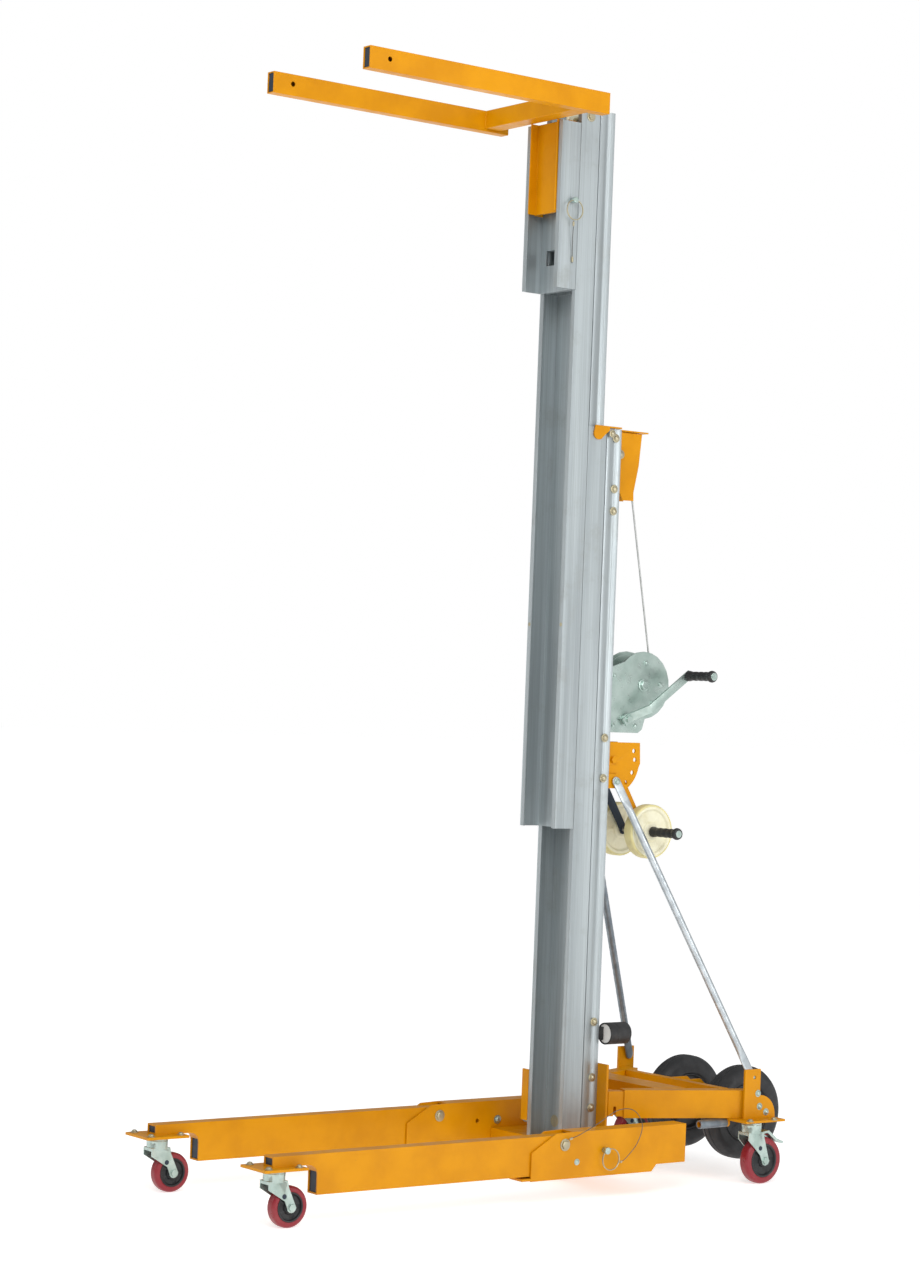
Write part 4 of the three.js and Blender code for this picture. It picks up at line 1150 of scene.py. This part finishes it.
@dataclass
class Caster:
    """A swivel caster: pressed fork, race, polyurethane wheel on a black core."""

    end: str
    side: Side
    x: float
    y: float
    radius: float
    width: float
    trail: float
    plate_low: float

    def build(self) -> None:
        """The fork, its race, the wheel and the plate's bolts."""
        word = self.side.word
        plate_work(f"{self.end}_caster_fork_{word}", ZINC, f"{self.end}_swivel_{word}", 0.0014)
        self.race()
        self.wheel()
        self.plate_bolts()

    def race(self) -> None:
        """The pressed ball race under the plate, and on each cheek a dark disc, painted shade for a
        round hole.
        """
        shell = Shell()
        crown = 2 * self.radius + 0.015
        top = self.plate_low - 0.0006
        shell.turn(
            rounded([(0.0, crown - 0.001), (0.025, crown - 0.001), (0.0275, top - 0.008),
                     (0.0235, top - 0.004), (0.0235, top), (0.0, top)], 0.002),
            (self.side.value * self.x, FRONT + self.y, 0), Axis.Z, 48)
        shell.piece(
            f"{self.end}_caster_race_{self.side.word}", ZINC,
            f"{self.end}_swivel_{self.side.word}")
        # Dark discs on the fork's cheeks: painted shade for round holes.
        hole_shade = Shell()
        for way in (-1, 1):
            x = self.side.value * self.x + way * (self.width / 2 + 0.0055)
            hole_shade.turn(
                rod(0.0062, -0.0004, 0.0003, 0.0001, 2),
                (x, FRONT + self.y + 0.45 * self.trail, 1.55 * self.radius), Axis.X, 24)
        hole_shade.piece(
            f"{self.end}_caster_slots_{self.side.word}", NAVY,
            f"{self.end}_swivel_{self.side.word}")

    def wheel(self) -> None:
        """The tread with its rounded shoulders, and the core with five ribs."""
        half, r = self.width / 2, self.radius
        centre = (self.side.value * self.x, FRONT + self.y + self.trail, r)
        body = f"{self.end}_roller_{self.side.word}"
        tread = Shell()
        tread.turn(
            rounded([(0.70 * r, -half), (r - 0.004, -half), (r, 0.006 - half),
                     (r, half - 0.006), (r - 0.004, half), (0.70 * r, half)], 0.004),
            centre, Axis.X, 96)
        tread.piece(
            f"{self.end}_caster_tread_{self.side.word}", TREAD, body,
            (f"{self.end}_caster_wheel_{self.side.word}",))
        core = Shell()
        core.turn(
            rounded([(0.0062, -half - 0.001), (0.016, -half - 0.001), (0.018, 0.006 - half),
                     (0.60 * r, 0.006 - half), (0.64 * r, -half - 0.0004),
                     (0.72 * r, -half - 0.0004), (0.72 * r, half + 0.0004),
                     (0.64 * r, half + 0.0004), (0.60 * r, half - 0.006), (0.018, half - 0.006),
                     (0.016, half + 0.001), (0.0062, half + 0.001)], 0.0016),
            centre, Axis.X, 90, ribs=5, raised=0.0028)
        core.piece(f"{self.end}_caster_core_{self.side.word}", HUB, body)

    def plate_bolts(self) -> None:
        """Four bolts through the caster's plate."""
        shell = Shell()
        top = self.plate_low + (0.0068 if self.end == "front" else 0.006)
        for way in (-1, 1):
            for step in (-1, 1):
                seat = (
                    self.side.value * self.x + 0.041 * way, FRONT + self.y + 0.043 * step, top)
                shell.bolt(seat, Axis.Z, 1, 0.0075, 0.0045, True)
        body = f"leg_{self.side.word}" if self.end == "front" else "base"
        shell.piece(f"{self.end}_caster_bolts_{self.side.word}", BRASSY, body)


@dataclass
class TransportWheel:
    """A big solid rubber wheel on the fixed rear axle."""

    side: Side
    inner: float = 0.084
    outer: float = 0.150
    radius: float = 0.127
    y: float = 0.590
    z: float = 0.168

    def build(self) -> None:
        """The tyre with two grooves round it, the dished hub with six ribs, and the cap."""
        centre = (0, FRONT + self.y, self.z)
        a, b, r = self.inner, self.outer, self.radius
        middle = (a + b) / 2
        scale = np.array([1.0, self.side.value])
        grooves = [
            (r, middle - 0.012), (r - 0.003, middle - 0.011), (r - 0.003, middle - 0.008),
            (r, middle - 0.007), (r, middle + 0.007), (r - 0.003, middle + 0.008),
            (r - 0.003, middle + 0.011), (r, middle + 0.012)]
        outline = [
            (0.077, a + 0.010), (0.082, a + 0.004), (0.108, a), (0.120, a + 0.006),
            (r - 0.001, a + 0.017), *grooves, (r - 0.001, b - 0.017), (0.120, b - 0.006),
            (0.108, b), (0.082, b - 0.004), (0.077, b - 0.010)]
        body = f"big_wheel_{self.side.word}"
        tyre = Shell()
        tyre.turn(rounded(outline, 0.004, 3) * scale, centre, Axis.X, 120)
        tyre.piece(
            f"transport_tyre_{self.side.word}", TYRE, body,
            (f"transport_wheel_{self.side.word}",))
        hub = Shell()
        hub.turn(
            rounded([(0.0102, a), (0.024, a), (0.028, a + 0.020), (0.070, a + 0.022),
                     (0.074, a + 0.008), (0.0775, a + 0.008), (0.0775, b - 0.008),
                     (0.074, b - 0.008), (0.070, b - 0.022), (0.028, b - 0.020), (0.024, b),
                     (0.0102, b)], 0.002) * scale,
            centre, Axis.X, 120, ribs=6, raised=0.008)
        hub.piece(f"transport_hub_{self.side.word}", HUB, body)
        cap = Shell()
        seat = (self.side.value * (b + 0.001), FRONT + self.y, self.z)
        cap.bolt(seat, Axis.X, self.side.value, 0.0125, 0.006, True)
        cap.piece(f"transport_axle_nut_{self.side.word}", ZINC, "base")


@dataclass
class Base:
    """The painted base: beam, brackets, folding legs, rear arms, casters and brakes."""

    leg_out: float = 0.2927
    leg_in: float = 0.2413
    pivot: tuple[float, float] = (-0.167, 0.149)
    pin: tuple[float, float] = (-0.038, 0.128)

    def build(self) -> None:
        """Every piece of the base."""
        for node in ("base_cross_beam", "mast_rear_plate", "rear_tray", "rear_crossbar"):
            plate_work(node, YELLOW, "base", 0.0014)
        for side in Side:
            word = side.word
            plate_work(f"leg_bracket_{word}", YELLOW, "base", 0.0010)
            plate_work(f"front_leg_{word}", YELLOW, f"leg_{word}", 0.0026)
            plate_work(f"rear_arm_{word}", YELLOW, "base", 0.0026)
            plate_work(f"caster_bracket_{word}", YELLOW, "base", 0.0010)
            self.pivot_bolt(side)
            self.leg_plugs(side)
            PullPin(
                f"leg_lock_{word}", f"leg_pin_{word}", f"leg_lock_{word}", *self.pin, 0.2874,
                self.leg_out, 0.006, self.pin[0] + 0.014 * side.value, self.pin[1] - 0.023,
                0.027, side.value).build()
            Caster("front", side, 0.267, -1.029, 0.050, 0.030, 0.040, 0.1415).build()
            Caster("rear", side, 0.265, 0.497, 0.0625, 0.032, 0.036, 0.1687).build()
            TransportWheel(side).build()
            Brace(side).build()
            self.brake(side)
            self.bracket_bolts(side)
        out = self.leg_out
        Lanyard(
            "leg_leash", "leg_lanyard_left", "base",
            ((out + 0.010, -0.163, 0.163), (out + 0.010, -0.124, 0.175),
             (out + 0.011, -0.069, 0.199), (out + 0.012, -0.006, 0.229),
             (out + 0.012, 0.048, 0.226), (out + 0.011, 0.079, 0.188),
             (out + 0.010, 0.066, 0.142), (out + 0.012, 0.028, 0.106),
             (out + 0.013, 0.006, 0.095))).build()
        self.rest()

    def pivot_bolt(self, side: Side) -> None:
        """The bolt that a front leg folds on, with a nut inside."""
        way = side.value
        y, z = self.pivot
        shell = Shell()
        outline = rod(0.008, self.leg_in - 0.008, self.leg_out + 0.004, 0.0008)
        shell.turn(outline * np.array([1.0, way]), (0, FRONT + y, z), Axis.X, 40)
        shell.bolt((way * (self.leg_out + 0.0003), FRONT + y, z), Axis.X, way, 0.0115, 0.0055)
        shell.bolt((way * (self.leg_in - 0.0003), FRONT + y, z), Axis.X, -way, 0.0115, 0.0055)
        shell.piece(
            f"leg_pivot_{side.word}", BRASSY, "base", (f"leg_pivot_bolt_{side.word}",))

    def leg_plugs(self, side: Side) -> None:
        """Dark blocks set back in the two open ends of a front leg, painted shade in
        the openings: the shallow tip, and the step where the tube grows to its full height."""
        low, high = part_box(f"front_leg_{side.word}")
        shell = Shell()
        inner, outer = 0.2512, 0.2828
        x = sorted((side.value * inner, side.value * outer))
        top = high[2] - 0.0042
        shell.block((x[0], FRONT - 1.044, top - 0.0166), (x[1], FRONT - 1.032, top))
        shell.block((x[0], FRONT - 0.916, low[2] + 0.0042), (x[1], FRONT - 0.904, top))
        shell.piece(f"leg_end_plugs_{side.word}", NAVY, f"leg_{side.word}", soft=0.0006)

    def bracket_bolts(self, side: Side) -> None:
        """Bolts in the leg bracket's plates and in the caster bracket, and the sleeve that
        lies lengthwise in front of the caster bracket."""
        way = side.value
        shell = Shell()
        for y in (0.030, 0.128):
            shell.bolt(
                (way * (self.leg_in + 0.0004), FRONT + y, 0.128), Axis.X, -way, 0.009, 0.005,
                True)
        shell.bolt(
            (way * self.leg_out, FRONT - 0.126, 0.103), Axis.X, way, 0.006, 0.003, True)
        stub = Shell()
        stub.turn(
            rounded([(0.0076, 0.344), (0.0115, 0.344), (0.0115, 0.4395), (0.0076, 0.4395)],
                    0.0010), (way * 0.225, FRONT, 0.1617), Axis.Y, 40)
        stub.piece(f"caster_stub_sleeve_{side.word}", SHADED_TUBE, "base")
        for y, z in ((0.516, 0.241), (0.523, 0.206), (0.547, 0.190)):
            shell.bolt((way * 0.2656, FRONT + y, z), Axis.X, way, 0.007, 0.004, True)
        shell.piece(f"bracket_bolts_{side.word}", ZINC, "base")

    def brake(self, side: Side) -> None:
        """The pressed brake pedal with its red button."""
        plate_work(f"brake_pedal_{side.word}", ZINC, f"brake_{side.word}", 0.0012)
        low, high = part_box(f"brake_pedal_{side.word}")
        shell = Shell()
        shell.turn(
            rounded([(0.0, -0.002), (0.007, -0.002), (0.007, 0.003), (0.0, 0.004)], 0.001),
            ((low[0] + high[0]) / 2, high[1] - 0.046, low[2] + 0.026), Axis.Z, 32)
        shell.piece(f"brake_button_{side.word}", RED, f"brake_{side.word}")

    def rest(self) -> None:
        """The rubber rest behind the mast's foot: bracket, roll and pale end cap."""
        low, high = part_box("rest_cylinder")
        start = low[1] + 0.0045
        centre = (0.085, 0.0, 0.395)
        roll = Shell()
        roll.turn(rod(0.029, start + 0.026, high[1], 0.003), centre, Axis.Y, 72)
        roll.turn(
            rounded([(0.0255, start), (0.029, start), (0.029, start + 0.0262),
                     (0.0255, start + 0.0262)], 0.001), centre, Axis.Y, 72)
        roll.block((0.030, low[1], 0.378), (0.080, low[1] + 0.005, 0.412))
        roll.piece("rest_roll", GRIP, "base", ("rest_cylinder",))
        cap = Shell()
        cap.turn(rod(0.0252, start + 0.002, start + 0.020, 0.001), centre, Axis.Y, 64)
        cap.piece("rest_end_cap", CAP, "base")


# ---------------------------------------------------------------- studio


@dataclass
class Studio:
    """The floor, the soft lights and the camera."""

    distance: float = 7.7719
    bearing: float = 51.10
    aim: float = 53.115
    pitch: float = 1.055
    roll: float = 2.232
    height: float = 1.2797
    lens: float = 82.29
    waist: float = 1.2
    floor_glow: float = 0.58
    sky_light: float = 0.56
    lamps: tuple[tuple[str, tuple[float, float, float], float, float], ...] = (
        ("key_light", (4.5, -3.5, 5.2), 3.2, 175.0),
        ("side_light", (6.0, 1.5, 2.4), 2.6, 85.0),
        ("fill_light", (-3.5, -5.5, 3.0), 3.5, 45.0),
    )

    def build(self) -> None:
        """Every part of the studio."""
        self.floor()
        self.sky()
        for name, at, size, power in self.lamps:
            self.lamp(name, at, size, power)
        self.camera()

    def floor(self) -> None:
        """A wide pale floor."""
        bench = Bench("pale_floor", 0.0)
        bench.colour(bench.mix(
            bench.ramp(bench.noise(3.0, 3.0), 0.3, 0.7, 0.0, 1.0), (0.86, 0.86, 0.86),
            (0.84, 0.84, 0.84)))
        bench.shader.inputs["Roughness"].default_value = 0.9
        bench.shader.inputs["Emission Color"].default_value = (1.0, 1.0, 1.0, 1.0)
        bench.shader.inputs["Emission Strength"].default_value = self.floor_glow
        mesh = bpy.data.meshes.new("studio_floor")
        far = 60.0
        mesh.from_pydata(
            [(-far, -far, 0), (far, -far, 0), (far, far, 0), (-far, far, 0)], [], [(0, 1, 2, 3)])
        mesh.materials.append(bench.material)
        floor = bpy.data.objects.new("studio_floor", mesh)
        bpy.context.scene.collection.objects.link(floor)

    def sky(self) -> None:
        """White surroundings for the camera, and dimmer ones for the light on the lift."""
        world = bpy.data.worlds.new("studio_sky")
        world.use_nodes = True
        tree = world.node_tree
        tree.nodes.clear()
        out = tree.nodes.new("ShaderNodeOutputWorld")
        seen = tree.nodes.new("ShaderNodeBackground")
        seen.inputs["Color"].default_value = (1, 1, 1, 1)
        seen.inputs["Strength"].default_value = 1.0
        light = tree.nodes.new("ShaderNodeBackground")
        light.inputs["Strength"].default_value = self.sky_light
        place = tree.nodes.new("ShaderNodeTexCoord")
        dot = tree.nodes.new("ShaderNodeVectorMath")
        dot.operation = "DOT_PRODUCT"
        dot.inputs[1].default_value = (0.75, 0.35, 0.55)
        spread = tree.nodes.new("ShaderNodeMapRange")
        spread.inputs["From Min"].default_value = -0.9
        spread.inputs["From Max"].default_value = 0.9
        spread.inputs["To Min"].default_value = 0.32
        spread.inputs["To Max"].default_value = 1.15
        path = tree.nodes.new("ShaderNodeLightPath")
        mix = tree.nodes.new("ShaderNodeMixShader")
        tree.links.new(place.outputs["Generated"], dot.inputs[0])
        tree.links.new(dot.outputs["Value"], spread.inputs["Value"])
        tree.links.new(spread.outputs["Result"], light.inputs["Color"])
        tree.links.new(path.outputs["Is Camera Ray"], mix.inputs[0])
        tree.links.new(light.outputs[0], mix.inputs[1])
        tree.links.new(seen.outputs[0], mix.inputs[2])
        tree.links.new(mix.outputs[0], out.inputs["Surface"])
        bpy.context.scene.world = world

    def lamp(self, name: str, at: tuple[float, float, float], size: float, power: float) -> None:
        """Adds a soft square lamp that faces the middle of the lift.

        Args:
            name: the lamp's name.
            at: where it stands.
            size: its side.
            power: in watts.
        """
        data = bpy.data.lights.new(name, "AREA")
        data.size = size
        data.energy = power
        lamp = bpy.data.objects.new(name, data)
        lamp.location = at
        aim = Vector((0.0, 0.0, self.waist)) - Vector(at)
        lamp.rotation_euler = aim.to_track_quat("-Z", "Y").to_euler()
        bpy.context.scene.collection.objects.link(lamp)

    def camera(self) -> None:
        """A long lens in front of the lift's left, as fitted to the photo."""
        turn = math.radians(self.bearing)
        aim, pitch, roll = (math.radians(v) for v in (self.aim, self.pitch, self.roll))
        at = Vector((
            self.distance * math.sin(turn),
            FRONT - self.distance * math.cos(turn), self.height))
        forward = Vector((
            -math.sin(aim) * math.cos(pitch), math.cos(aim) * math.cos(pitch),
            math.sin(pitch)))
        right = Vector((math.cos(aim), math.sin(aim), 0.0))
        up = right.cross(forward)
        tilted = right * math.cos(roll) + up * math.sin(roll)
        upright = up * math.cos(roll) - right * math.sin(roll)
        data = bpy.data.cameras.new("lift_camera")
        data.sensor_fit = "AUTO"
        data.sensor_width = 36.0
        data.lens = self.lens
        data.clip_end = 200.0
        camera = bpy.data.objects.new("lift_camera", data)
        rows = Matrix((tilted, upright, -forward)).transposed().to_4x4()
        camera.matrix_world = Matrix.Translation(at) @ rows
        bpy.context.scene.collection.objects.link(camera)
        bpy.context.scene.camera = camera


def main() -> None:
    """Builds the studio and the lift."""
    logging.basicConfig(level=logging.INFO, format="%(message)s")
    bpy.context.scene.view_settings.view_transform = "Standard"
    Studio().build()
    for assembly in (Mast(), Forks(), RopeWork(), Winch(), LoadingFrame(), Base()):
        LOG.info("building %s", type(assembly).__name__)
        assembly.build()


if __name__ == "__main__":
    main()
